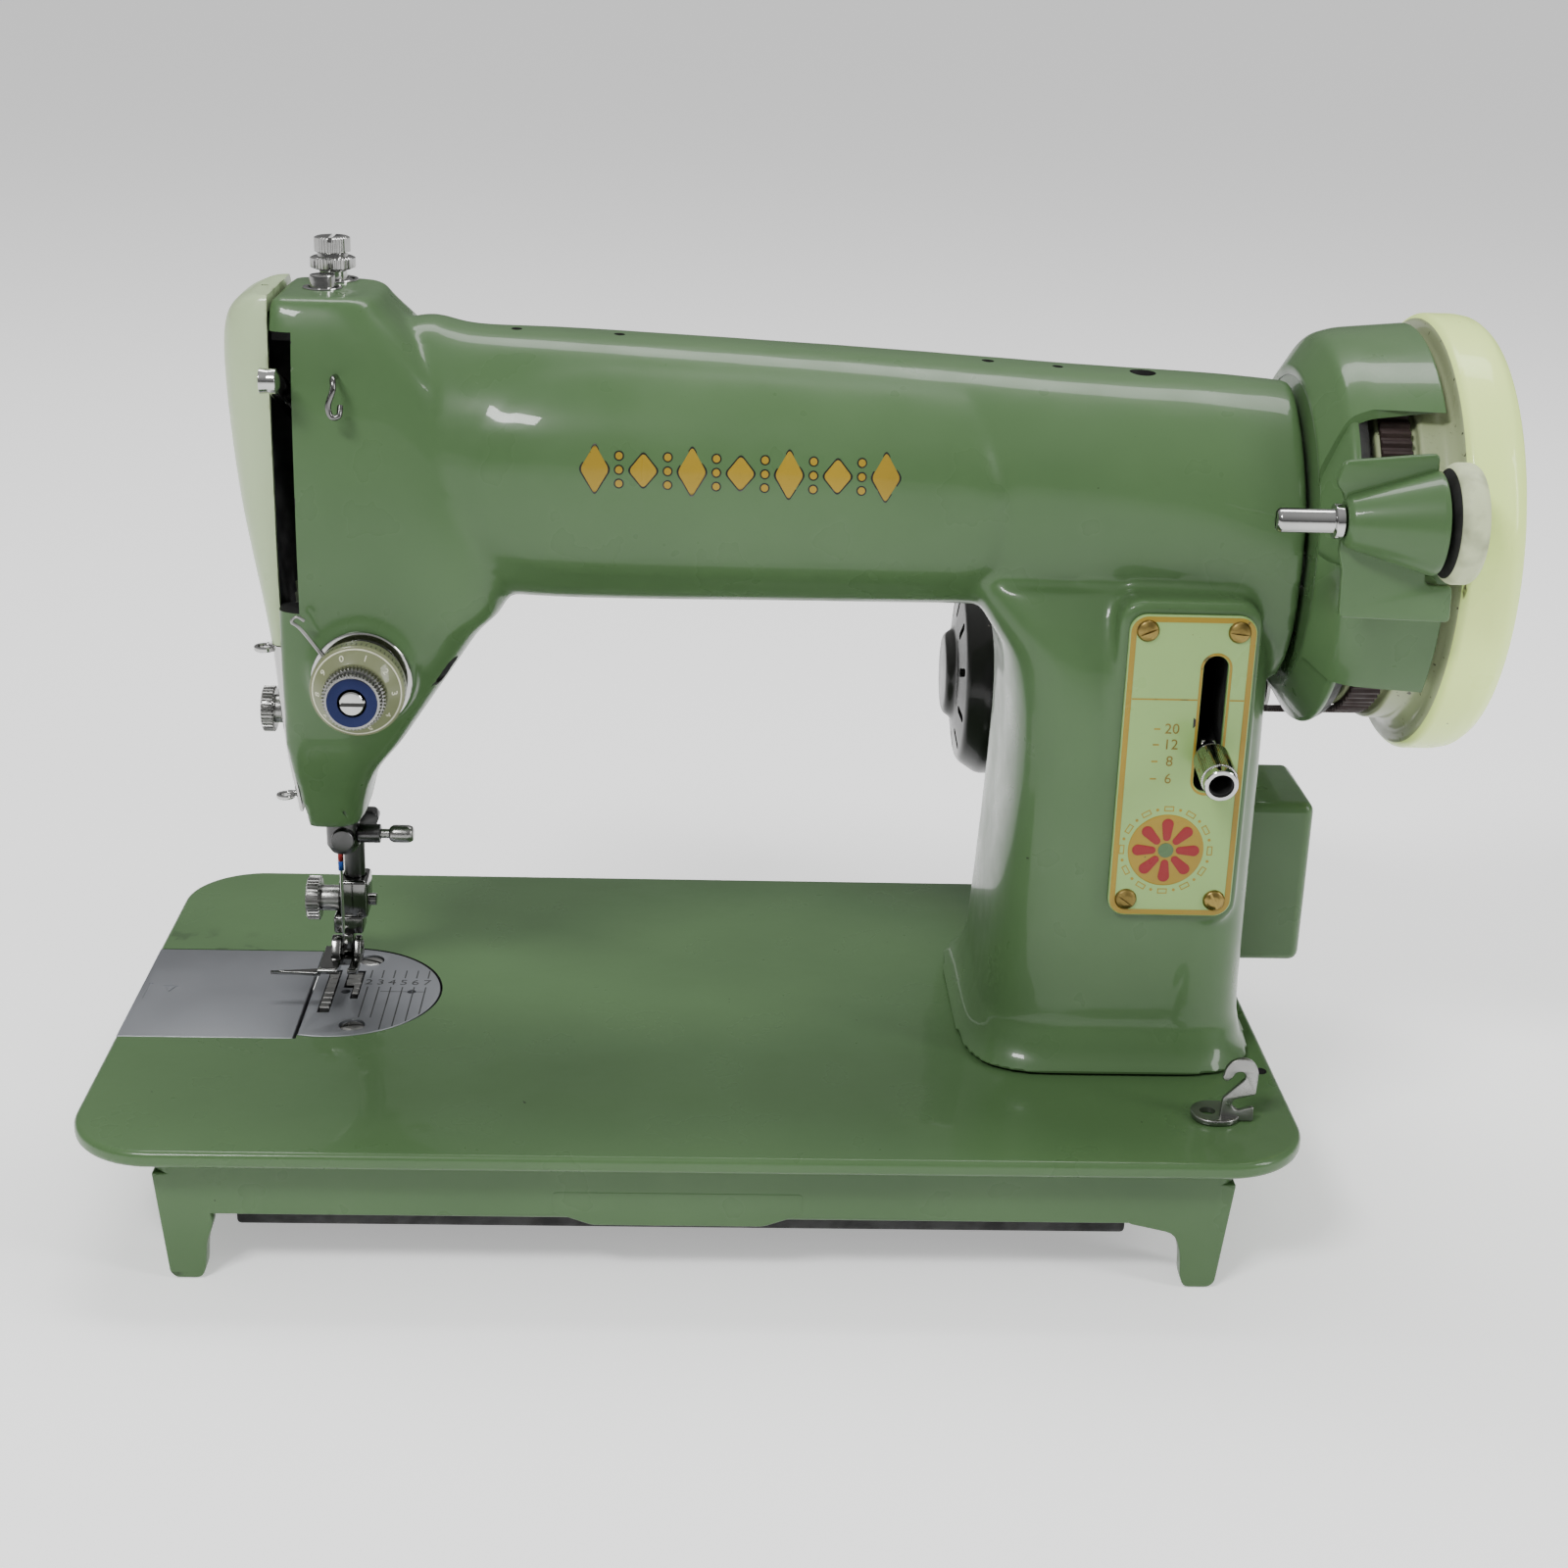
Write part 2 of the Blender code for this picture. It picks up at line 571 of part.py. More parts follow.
# Face cover, from the bottom up: height, bulge to the left, y low, y high
COVER = (
    (145.6, -112.3, -12.5, 29.5),
    (158.0, -114.2, -14.0, 30.5),
    (170.0, -116.3, -15.0, 31.0),
    (184.0, -118.6, -15.0, 31.0),
    (203.0, -120.4, -15.0, 30.0),
    (220.0, -121.0, -14.5, 28.0),
    (229.0, -119.8, -14.0, 26.5),
    (233.5, -116.5, -13.0, 24.0),
    (235.4, -112.6, -12.0, 22.0),
)


def bulge(z, left, y0, y1, right, count=12):
    """A D-shaped section: round on the left, straight at x = right."""
    points = [(right, y0, z), (right, y1, z)]
    for i in range(1, count):
        turn = math.pi * i / count
        y = (y0 + y1) / 2 + math.copysign(abs(math.cos(turn)) ** 0.6, math.cos(turn)) \
            * (y1 - y0) / 2
        points.append((right + (left - right) * math.sin(turn) ** 0.75, y, z))
    return points


def face_covers():
    edge = FACE_X - GAP
    cover = loft("upper_face_cover", [bulge(*row, edge) for row in COVER], PALE)
    inside = []
    for z, left, y0, y1 in COVER[:-2]:
        inside.append(bulge(z, left + 1.8, y0 + 1.8, y1 - 1.8, edge + 2.0))
    inside[0] = [(x, y, z - 5.0) for x, y, z in inside[0]]
    cut(cover, loft("cover_inside", inside),
        rod("cover_hole", "Z", (-110.9, 3.4, 225.0), 15.0, 0.9, sides=10))
    rows = ((98.0, -107.3, -105.3), (104.0, -108.1, -106.1), (111.0, -109.1, -107.2),
            (119.0, -110.0, edge), (130.0, -111.0, edge), (145.2, -112.3, edge))
    plate = loft("lower_face_plate",
                 [bulge(z, left, -7.5 - (z - 98.0) * 0.1, 25.0 + (z - 98.0) * 0.09, right)
                  for z, left, right in rows], CHROME)
    inner = loft("face_plate_inside", [
        bulge(z, left + 1.3, -6.0 - (z - 98.0) * 0.1, 23.5 + (z - 98.0) * 0.09, edge + 4.0)
        for z, left in ((119.5, -110.0), (130.0, -111.0), (150.0, -112.7))])
    head = knurled("face_thumb_screw", "X", (0.0, 6.0, 122.3), (-116.9, -113.5), 6.2, 0, STEEL,
                   teeth=18)
    plate_guides = [
        rod("face_guide_stem", "X", (-113.2, -5.0, 143.4), 4.6, 0.9, sides=10),
        ring("face_guide_eye", "Z", (-113.4, -7.2, 0.0), (142.8, 144.0), (1.5, 2.8), sides=12),
        rod("nose_guide_stem", "X", (-110.0, -3.2, 101.6), 3.6, 0.8, sides=10),
        ring("nose_guide_eye", "Z", (-110.1, -5.2, 0.0), (101.1, 102.1), (1.3, 2.5), sides=12)]
    join(plate, *plate_guides)
    cut(plate, inner, rod("thumb_screw_hole", "X", (-125.0, 6.0, 122.3), 30.0, 2.4, sides=12))
    join(head, rod("thumb_screw_neck", "X", (-113.9, 6.0, 122.3), 2.8, 3.8, sides=16),
         rod("thumb_screw_thread", "X", (-111.6, 6.0, 122.3), 3.9, 2.0, sides=12))


def thread_guides():
    wire("arm_thread_guide", [(-90.6, -19.9, 217.2), (-90.6, -24.3, 217.5), (-90.4, -26.2, 215.2),
                              (-91.7, -26.6, 211.2), (-91.0, -26.4, 208.4),
                              (-89.2, -26.2, 208.8), (-89.0, -24.5, 211.0)], 0.75, CHROME)
    outline = ([(134.4, 40.3), (143.1, 40.3), (142.9, 44.3), (139.6, 43.3)]
               + arc(139.0, 45.0, 1.7, 270, 90, 5)
               + [(143.1, 47.7), (143.4, 54.0)] + arc(139.0, 53.6, 4.3, 5, 175, 8)
               + [(134.3, 52.3), (135.4, 51.5), (136.6, 52.3)] + arc(138.6, 52.6, 1.6, 150, -10, 5)
               + [(139.6, 51.6), (134.8, 46.6)])
    hook = prism("winder_thread_guide", "Y", outline, -66.6, -65.2, CHROME)
    foot = prism("guide_foot", "Z", rounded(127.6, 140.0, -69.6, -58.0, 5.4, 5), BED_TOP + GAP,
                 BED_TOP + 1.7)
    join(hook, foot)
    cut(hook, rod("guide_screw_hole", "Z", (131.8, -63.8, 38.0), 10.0, 2.0, sides=12))


def tension_unit():
    x, z = TENSION_X, TENSION_Z
    spring = ring("check_spring", "Y", (x, 0.0, z), (-26.9, -25.2), (4.0, 5.8), STEEL)
    join(spring,
         wire("check_spring_wire", [(x - 4.9, -26.5, z), (x - 9.0, -26.8, z + 6.0),
                                    (x - 14.5, -26.8, z + 13.5), (x - 17.0, -26.8, z + 15.5),
                                    (x - 15.4, -26.8, z + 17.0), (x - 13.6, -26.8, z + 15.8)],
              0.45))
    dish = [(0.0, 3.9), (0.0, 8.2), (0.5, 10.4), (-0.1, 10.4), (-0.6, 8.2), (-0.6, 3.9)]
    turned("tension_disc_rear", "Y", (x, -27.9, z), dish, STEEL)
    turned("tension_disc_front", "Y", (x, -29.1, z), [(-a, r) for a, r in dish[::-1]], STEEL)
    turned("tension_dial", "Y", (x, 0.0, z),
           [(-29.9, 4.0), (-29.9, 11.9), (-34.4, 11.9), (-34.9, 11.2), (-37.6, 8.2), (-37.6, 4.0)],
           CREAM, 28)
    knurled("tension_knob", "Y", (x, 0.0, z), (-43.9, -37.9), 8.0, 4.0, DARK_STEEL, teeth=22)
    stud = rod("tension_stud", "Y", (x, -44.5, z), 33.5, 3.1, STEEL, 16)
    join(stud, turned("tension_base", "Y", (x, 0.0, z),
                      [(-24.7, 0.0), (-24.7, 12.8), (-26.2, 12.8), (-26.2, 6.6), (-25.0, 6.6),
                       (-25.0, 0.0)], None, 28))
    cut(stud, box("stud_slot", (x - 3.6, x + 3.6), (-46.0, -43.2), (z - 0.6, z + 0.6)))


def needle_bar_group():
    x, y = BAR_X, BAR_Y
    bar = rod("needle_bar", "Z", (x, y, 87.8), 150.6, 3.18, CHROME)
    clamp = turned("needle_clamp", "Z", (x, y, 0.0),
                   [(92.2, 3.5), (92.2, 4.5), (84.6, 4.5), (83.2, 3.6), (82.4, 3.0), (82.4, 0.0),
                    (87.5, 0.0), (87.5, 3.5)], STEEL)
    join(clamp, rod("clamp_face", "Y", (x + 0.6, y - 6.4, 87.6), 3.0, 3.1),
         rod("clamp_lug", "X", (x + 4.0, y, 87.6), 6.2, 2.6, sides=16))
    cut(clamp, rod("clamp_screw_bore", "X", (x + 3.6, y, 87.6), 10.0, 1.6, sides=12),
        rod("clamp_needle_bore", "Z", (NEEDLE_X, NEEDLE_Y, 80.0), 7.4, 1.1, sides=12))
    screw = rod("needle_clamp_screw", "X", (x + 3.9, y, 87.6), 9.4, 1.3, STEEL, 12)
    join(screw, rod("clamp_screw_head", "X", (x + 12.5, y, 87.6), 6.6, 2.45, sides=14))
    needle = rod("needle", "Z", (NEEDLE_X, NEEDLE_Y, 62.0), 25.0, 0.75, CHROME, 12)
    join(needle, rod("needle_blade", "Z", (NEEDLE_X, NEEDLE_Y, 55.0), 8.0, 0.12, sides=12,
                     tip=0.6))
    join(bar, rod("bar_collar", "Z", (x, y, 150.0), 9.0, 4.3),
         rod("link_stud", "X", (x, y, 154.5), LINK_X1 + 1.2 - x, 2.4))
    link = stadium((y, 154.5), (10.5, 192.0), 4.6, 4.8)
    prism("needle_link", "X", link, LINK_X0, LINK_X1, STEEL,
          holes=[circle(y, 154.5, 2.8, 14), circle(10.5, 192.0, 3.3, 14)])


def crank_and_take_up():
    pin = (10.5 - ARM_Y, math.sqrt(CRANK_R ** 2 - 5.5 ** 2))
    pin_spot = (ARM_Y + pin[0], ARM_Z + pin[1])
    web = stadium((ARM_Y, ARM_Z), pin_spot, 12.5, 3.0, 12)
    crank = prism("needle_crank", "X", web, CRANK_X0, CRANK_X1, STEEL,
                  holes=[circle(ARM_Y, ARM_Z, 6.3, 20)])
    join(crank, rod("crank_pin", "X", (LINK_X1 + 0.2, *pin_spot), 3.3, 2.4))
    lever = prism("take_up_lever", "X", stadium(TAKE_UP_PIVOT, TAKE_UP_EYE, 4.6, 2.6),
                  -105.7, -103.5, STEEL, holes=[circle(*TAKE_UP_PIVOT, 2.3, 14)])
    eyelet = ring("take_up_eyelet", "X", (0.0, *TAKE_UP_EYE), (-107.7, -103.6), (1.5, 3.2), sides=16)
    join(lever, eyelet)
    rod("take_up_pin", "X", (-106.9, *TAKE_UP_PIVOT), 30.0, 1.9, STEEL)


def presser_group():
    x, y = PRESSER_X, PRESSER_Y
    bar = rod("presser_bar", "Z", (x, y, 59.2), 172.4, 2.9, CHROME)
    join(bar, box("presser_guide", (-101.8, -92.4), (11.4, 23.0), (166.2, 176.2)),
         box("thread_cutter", (x + 1.5, -88.4), (15.0, 19.4), (84.6, 89.4)))
    turns, steps, low, high = 6, 8, 177.4, 219.5
    coil = []
    for i in range(turns * steps + 1):
        turn = 2 * math.pi * i / steps
        rise = low + (high - low) * i / (turns * steps)
        coil.append((x + 4.1 * math.cos(turn), y + 4.1 * math.sin(turn), rise))
    wire("presser_spring", coil, 0.45, STEEL)
    screw = turned("pressure_screw", "Z", (x, y, 0.0),
                   [(246.0, 0.0), (246.0, 4.0), (245.4, 4.6), (242.6, 4.6), (242.0, 3.9),
                    (241.2, 3.9), (240.8, 5.8), (238.0, 5.8), (237.6, 3.6), (235.2, 3.6),
                    (235.2, 5.0), (221.0, 5.0), (221.0, 3.5), (234.0, 3.5), (234.0, 0.0)],
                   CHROME, 24)
    cut(screw, box("pressure_screw_slot", (x - 0.5, x + 0.5), (y - 8.0, y + 8.0),
                   (244.8, 250.0)))
    shank = box("foot_shank", (x - 3.9, x + 3.9), (11.6, 22.4), (58.6, 69.8), STEEL, bevel=0.8)
    join(shank, box("shank_block", (-101.6, -93.4), (12.0, 19.6), (53.6, 58.8)),
         box("shank_tongue", (-99.0, -96.0), (9.4, 15.0), (49.0, 54.6)))
    cut(shank, rod("shank_bore", "Z", (x, y, 58.9), 30.0, 3.2, sides=20),
        rod("foot_pin_bore", "X", (-110.0, FOOT_PIN_Y, FOOT_PIN_Z), 30.0, 1.4, sides=12),
        rod("foot_screw_bore", "X", (-110.0, y, 62.5), 13.0, 1.9, sides=12))
    screw = knurled("foot_screw", "X", (0.0, y, 62.5), (-109.2, -105.4), 6.2, 0, STEEL, teeth=18)
    join(screw, rod("foot_screw_neck", "X", (-105.6, y, 62.5), 5.5, 3.6, sides=16),
         rod("foot_screw_thread", "X", (-100.4, y, 62.5), 1.3, 1.6, sides=12))
    presser_foot()


def presser_foot():
    """The raised foot: its sole clears the needle plate by the presser bar's lift."""
    low = BED_TOP + FOOT_LIFT + 0.6
    side = [(-3.0, low + 2.2), (-2.4, low + 2.9), (1.0, low + 1.7), (15.0, low + 2.0),
            (15.0, low + 1.4), (12.5, low), (0.0, low), (-2.4, low + 1.4)]
    foot = prism("presser_foot", "X", side, -104.4, -93.6, STEEL)
    cheek = stadium((FOOT_PIN_Y, FOOT_PIN_Z), (9.6, low + 2.0), 2.6, 2.2, 6)
    join(foot, prism("cheek_left", "X", cheek, -102.0, -99.4),
         prism("cheek_right", "X", cheek, -95.6, -93.8))
    cut(foot, box("needle_slot", (NEEDLE_X - 1.4, NEEDLE_X + 1.4), (-20.0, 6.4), (38.0, 60.0)),
        rod("foot_hinge_bore", "X", (-110.0, FOOT_PIN_Y, FOOT_PIN_Z), 30.0, 1.4, sides=12))
    join(foot, prism("foot_finger", "Z", [(-103.6, -2.2), (-103.6, 1.2), (-109.0, 0.2),
                                          (-117.6, -1.0), (-109.0, -1.8)], low + 0.5, low + 1.5))
    rod("foot_hinge_pin", "X", (-102.2, FOOT_PIN_Y, FOOT_PIN_Z), 8.9, 1.1, STEEL, 12)


def lifter():
    """The lever at the head's back, turned up: its finger holds the presser bar raised."""
    x, z = LIFTER_X, LIFTER_Z
    handle = stadium((x, z), (x + 22.0, z - 2.0), 6.0, 4.0)
    lever = prism("lifter_lever", "Y", handle, 32.8, 36.0, STEEL)
    finger = prism("lifter_finger", "Y", stadium((x, z), (x, z + 10.0), 3.9, 3.0), 21.4, 23.2)
    join(lever, rod("lifter_spindle", "Y", (x, 22.0, z), 12.0, 3.0, sides=16), finger)


# ------------------------------------------------------------------ arm shaft and drive

def arm_shaft_group():
    shaft = rod("arm_shaft", "X", (CRANK_X0, ARM_Y, ARM_Z), 182.7 - CRANK_X0, 6.0, STEEL, 20)
    join(shaft, rod("rod_eccentric", "X", (107.6, ARM_Y, ARM_Z + 3.0), 7.8, 11.5, sides=24))
    ring("shaft_bushing_left", "X", (0.0, ARM_Y, ARM_Z), (-79.5, -59.0), (6.3, 8.7), BRASS, 24)
    ring("shaft_bushing_right", "X", (0.0, ARM_Y, ARM_Z), (130.0, 150.0), (6.3, 8.7), BRASS, 24)
    rod_part = ring("connecting_rod", "X", (0.0, ARM_Y, ARM_Z + 3.0), (108.2, 114.8),
                    (11.9, 15.4), STEEL, 24)
    join(rod_part, box("rod_stem", (108.4, 114.6), (ARM_Y - 3.5, ARM_Y + 3.5), (36.0, 167.0)),
         rod("rod_end", "X", (108.3, ARM_Y, 31.0), 6.4, 6.0, sides=20))
    cut(rod_part, rod("rod_end_bore", "X", (100.0, ARM_Y, 31.0), 20.0, 3.2, sides=16))
    lever = prism("stitch_lever", "X",
                  stadium((LEVER_Y, LEVER_Z), lever_point(44.0), 6.0, 2.6), LEVER_X - 2.0,
                  LEVER_X + 2.0, STEEL, holes=[circle(LEVER_Y, LEVER_Z, 2.4, 14)])
    join(lever, lever_barrel("lever_tube", 49.0, 65.0, 4.6),
         lever_barrel("lever_neck", 40.0, 51.0, 2.4))
    rod("stitch_lever_pin", "X", (120.4, LEVER_Y, LEVER_Z), 20.0, 2.1, STEEL, 14)


def lever_point(reach):
    """A point on the stitch lever's centre line, as (y, z), reach from its pin."""
    return (LEVER_Y - reach * math.cos(LEVER_REST), LEVER_Z - reach * math.sin(LEVER_REST))


def lever_barrel(name, near, far, radius):
    """A cylinder along the stitch lever."""
    y, z = lever_point(near)
    barrel = rod(name, "Z", (LEVER_X, y, z), far - near, radius, sides=20)
    barrel.rotation_euler = (math.pi / 2 + LEVER_REST, 0.0, 0.0)
    return barrel


def stitch_plate_group():
    outline = rounded(STITCH_X0, STITCH_X1, STITCH_Z0, STITCH_Z1, 4.5, 4)
    slot = arc(LEVER_X, 152.5, 3.2, 0, 180, 6) + arc(LEVER_X, 122.5, 3.2, 180, 360, 6)
    plate = prism("stitch_plate", "Y", outline, PAD_Y - 1.8, PAD_Y - GAP, PALE, holes=[slot])
    for number, (x, z) in enumerate(((111.0, 162.0), (134.0, 162.0), (111.0, 89.5),
                                     (134.0, 89.5)), 1):
        join(plate, rod("stitch_plate_screw_%d" % number, "Y", (x, PAD_Y - 3.2, z), 2.0, 2.9,
                        sides=14))


def guard_group():
    profile = [(152.0, 40.0), (158.5, 49.6), (163.0, 51.0), (181.0, 52.6),
               (181.0, 54.4), (163.0, 52.8), (157.6, 51.2), (151.6, 42.4)]
    start, sweep = 35.0, 178.0
    bm = bmesh.new()
    rows = []
    steps = 36
    for i in range(steps + 1):
        turn = math.radians(start + sweep * i / steps)
        rows.append([bm.verts.new((x, ARM_Y + r * math.cos(turn), ARM_Z + r * math.sin(turn)))
                     for x, r in profile])
    for lower, upper in zip(rows, rows[1:]):
        bridge_rows(bm, lower, upper)
    bm.faces.new(rows[0][::-1])
    bm.faces.new(rows[-1])
    bmesh.ops.recalc_face_normals(bm, faces=bm.faces[:])
    guard = from_bmesh("belt_guard", bm, GREEN)
    lug = rounded(WINDER_PIN[0] - 3.8, -40.0, WINDER_PIN[1] - 3.8, WINDER_PIN[1] + 3.8, 3.5, 3)
    cut(guard, box("winder_window", (150.0, 190.0), (-75.0, -30.0), (181.0, 217.0)))
    join(guard, prism("guard_lug_left", "X", lug, 158.5, 161.5),
         prism("guard_lug_right", "X", lug, 174.0, 177.0))
    cut(guard, rod("guard_pin_bore", "X", (150.0, *WINDER_PIN), 40.0, 2.4, sides=16),
        rod("guard_inside", "X", (157.8, ARM_Y, ARM_Z), 30.0, 49.9, sides=48))
    rod("winder_pivot_pin", "X", (158.3, *WINDER_PIN), 18.9, 2.1, STEEL, 14)
    join(guard, turned("guard_back_plate", "X", (0.0, ARM_Y, ARM_Z),
                       [(163.0, 14.0), (163.0, 48.5), (159.5, 50.6), (158.0, 50.0), (152.2, 41.0),
                        (152.2, 14.0)], None, 36))


def handwheel_group():
    outline = [
        (166.0, 6.3), (190.0, 6.3), (190.0, 24.0), (192.0, 42.0), (198.6, 50.0),
        (200.0, 51.5), (199.3, 54.2), (196.5, 56.4), (193.0, WHEEL_R), (185.5, WHEEL_R),
        (184.0, 55.5), (183.5, 51.5), (181.6, FRICTION_R), (175.3, FRICTION_R), (175.3, DRUM_R),
        (165.4, DRUM_R), (165.4, 40.0), (174.0, 36.0), (174.0, 14.0), (166.0, 14.0),
    ]
    turned("handwheel", "X", (0.0, ARM_Y, ARM_Z), outline, PALE, 36)
    knob = knurled("stop_motion_knob", "X", (0.0, ARM_Y, ARM_Z), (190.4, 197.0), 21.0, 0, CHROME,
                   teeth=24, depth=0.8)
    cut(knob, turned("knob_dish", "X", (0.0, ARM_Y, ARM_Z),
                     [(199.0, 0.0), (199.0, 16.0), (195.5, 13.0), (195.5, 0.0)], sides=32))


def motor_group():
    y, z = MOTOR_Y, MOTOR_Z
    housing = turned("motor_housing", "X", (0.0, y, z),
                     [(158.0, 0.0), (158.0, 15.0), (154.0, 17.0), (152.0, 27.0), (147.0, MOTOR_R),
                      (86.0, MOTOR_R), (80.0, 27.0), (78.0, 14.0), (75.0, 12.0), (75.0, 0.0)],
                     BLACK, 28)
    cut(housing, rod("motor_bore", "X", (148.0, y, z), 20.0, 3.9, sides=16))
    join(housing, box("motor_bracket", (96.0, 128.0), (45.4, 76.0), (93.0, 117.0), bevel=2.0))
    turned("motor_pulley", "X", (0.0, y, z),
           [(176.0, 0.0), (176.0, 10.0), (174.6, 10.0), (174.2, PULLEY_R), (165.8, PULLEY_R),
            (165.4, 10.0), (164.0, 10.0), (164.0, 3.5), (149.0, 3.5), (149.0, 0.0)], STEEL, 24)
    belt()


def belt():
    """The belt's loop: two arcs joined by the common outer tangents."""
    dy, dz = MOTOR_Y - ARM_Y, MOTOR_Z - ARM_Z
    apart = math.hypot(dy, dz)
    way = math.degrees(math.atan2(dz, dy))

    def loop(big, small, steps):
        lean = math.degrees(math.acos((big - small) / apart))
        return (arc(ARM_Y, ARM_Z, big, way + lean, way + 360 - lean, steps)
                + arc(MOTOR_Y, MOTOR_Z, small, way - lean, way + lean, 10))

    outer = loop(DRUM_R + GAP + BELT_T, PULLEY_R + GAP + BELT_T, 44)
    inner = loop(DRUM_R + GAP, PULLEY_R + GAP, 44)
    prism("motor_belt", "X", outer, BELT_X - BELT_W / 2, BELT_X + BELT_W / 2, RUBBER,
          holes=[inner])


def winder_group():
    axis = (0.0, WINDER_Y, WINDER_Z)
    frame = turned("winder_frame", "X", axis,
                   [(173.0, 3.6), (173.0, 12.4), (171.8, 12.4), (152.0, 6.2), (151.0, 5.2),
                    (151.0, 3.6)], GREEN, 28)
    plate = prism("winder_plate", "Y",
                  [(152.6, 172.4), (179.6, 171.6), (179.2, 180.6), (172.4, 181.0), (172.0, 190.0),
                   (169.0, 205.0), (172.6, 207.0), (172.4, 212.6), (150.0, 210.4), (148.6, 205.0),
                   (151.0, 202.0), (151.0, 188.0), (152.2, 184.0)], -59.0, -56.9)
    barrel = rod("winder_barrel", "X", (161.8, *WINDER_PIN), 10.6, 3.7, sides=20)
    web = box("winder_web", (162.4, 173.2), (-57.6, -54.2), (173.4, 179.6))
    join(frame, plate, barrel, web)
    cut(frame, rod("winder_pin_bore", "X", (150.0, *WINDER_PIN), 40.0, 2.4, sides=16),
        rod("winder_spindle_bore", "X", (146.0, WINDER_Y, WINDER_Z), 30.0, 3.3, sides=16))
    turned("winder_spindle", "X", axis,
           [(183.4, 0.0), (183.4, 2.9), (150.6, 2.9), (150.6, 4.2), (148.4, 4.2), (148.4, 2.9),
            (135.6, 2.9), (134.8, 2.2), (134.8, 0.0)], CHROME, 16)
    turned("winder_tyre", "X", axis,
           [(181.6, 3.2), (182.4, 10.0), (181.8, 13.4), (180.4, 14.4), (176.8, 14.4),
            (175.4, 13.4), (174.0, 9.0), (174.0, 3.2)], PALE, 28)


def terminal_box_group():
    cover = box("terminal_box", (152.4, 174.5), (21.0, 56.0), (45.0, 94.0), GREEN, bevel=3.0)
    join(cover, box("terminal_base", (149.6, 153.0), (19.0, 58.0), (44.0, 98.0), bevel=1.0))
    cut(cover, box("socket_recess", (164.0, 180.0), (26.5, 50.5), (51.0, 85.0)))
    for z in (58.0, 68.0, 78.0):
        join(cover, rod("socket_pin_%d" % z, "X", (163.0, 38.5, z), 9.5, 1.9, sides=10))


# ------------------------------------------------------------------ under the bed

def hook_group():
    spot = (HOOK_X, HOOK_Y, 0.0)
    turned("hook", "Z", spot,
           [(34.0, 12.0), (34.0, 13.4), (31.5, 14.1), (24.0, 14.1), (22.0, 12.0), (20.0, 4.5),
            (16.0, 4.5), (16.0, 0.0), (23.4, 0.0), (23.4, 12.0)], STEEL)
    turned("bobbin_case", "Z", spot,
           [(25.0, 0.0), (25.0, 10.6), (34.4, 10.6), (34.4, 11.7), (23.8, 11.7), (23.8, 0.0)],
           DARK_STEEL)
    turned("bobbin", "Z", spot,
           [(34.6, 3.0), (34.6, 10.2), (33.8, 10.2), (33.8, 5.0), (26.2, 5.0), (26.2, 10.2),
            (25.4, 10.2), (25.4, 3.0)], STEEL)


def feed_group():
    feed_y, feed_z = FEED_SHAFT
    shaft = rod("feed_rock_shaft", "X", (-96.0, feed_y, feed_z), 198.0, 4.0, STEEL, 16)
    for x in (-96.0, 96.0):
        arm = prism("feed_arm_%d" % x, "X", stadium((feed_y, feed_z), (feed_y, 31.0), 5.6, 3.0, 6),
                    x, x + 6.0)
        join(shaft, arm)
    box("feed_bar", (-96.4, -90.6), (-6.0, 33.8), (28.0, 33.0), STEEL, bevel=0.5)
    dog = box("feed_dog", (-98.0, -94.2), (7.8, 14.9), (33.3, 40.3), STEEL)
    join(dog, box("feed_dog_left", (-103.2, -100.7), (-8.0, 15.2), (35.2, 40.3)),
         box("feed_dog_front", (-95.6, -94.0), (0.8, 9.0), (33.3, 40.3)),
         box("feed_dog_bridge", (-102.0, -95.0), (9.5, 14.6), (35.2, 37.0)))
    teeth = []
    for i in range(8):
        y = -7.6 + 3.1 * i
        teeth.append(prism("tooth_gap_%d" % i, "X", [(y - 0.9, 41.4), (y + 0.9, 41.4), (y, 39.5)],
                           -106.0, -91.0))
    cut(dog, *teeth)
    hook_y, hook_z = HOOK_SHAFT
    rock = rod("hook_rock_shaft", "X", (-96.0, hook_y, hook_z), 216.0, 4.0, STEEL, 16)
    crank = prism("hook_crank", "X", stadium((hook_y, hook_z), (ARM_Y - 1.5, 29.5), 5.6, 3.4, 6),
                  116.4, 120.0)
    lever = prism("hook_lever", "X", stadium((hook_y, hook_z), (hook_y, 31.0), 5.6, 3.0, 6),
                  -96.0, -91.0)
    join(rock, crank, lever)


arm_casting()
bed_casting()
drip_pan()
plates()
face_covers()
thread_guides()
tension_unit()
needle_bar_group()
crank_and_take_up()
presser_group()
lifter()
arm_shaft_group()
stitch_plate_group()
guard_group()
handwheel_group()
motor_group()
winder_group()
terminal_box_group()
hook_group()
feed_group()
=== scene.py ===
"""Looks of the three-quarter-size electric sewing machine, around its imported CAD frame.

Shapes are drawn in the machine's own millimetres: +X to the handwheel, +Y to the back
and +Z up, with X = Y = 0 at the middle of the bed.  piece() puts them in the frame's metres.
"""
import json
import math

import bmesh
import bpy
from mathutils import Matrix, Vector
from mathutils.bvhtree import BVHTree


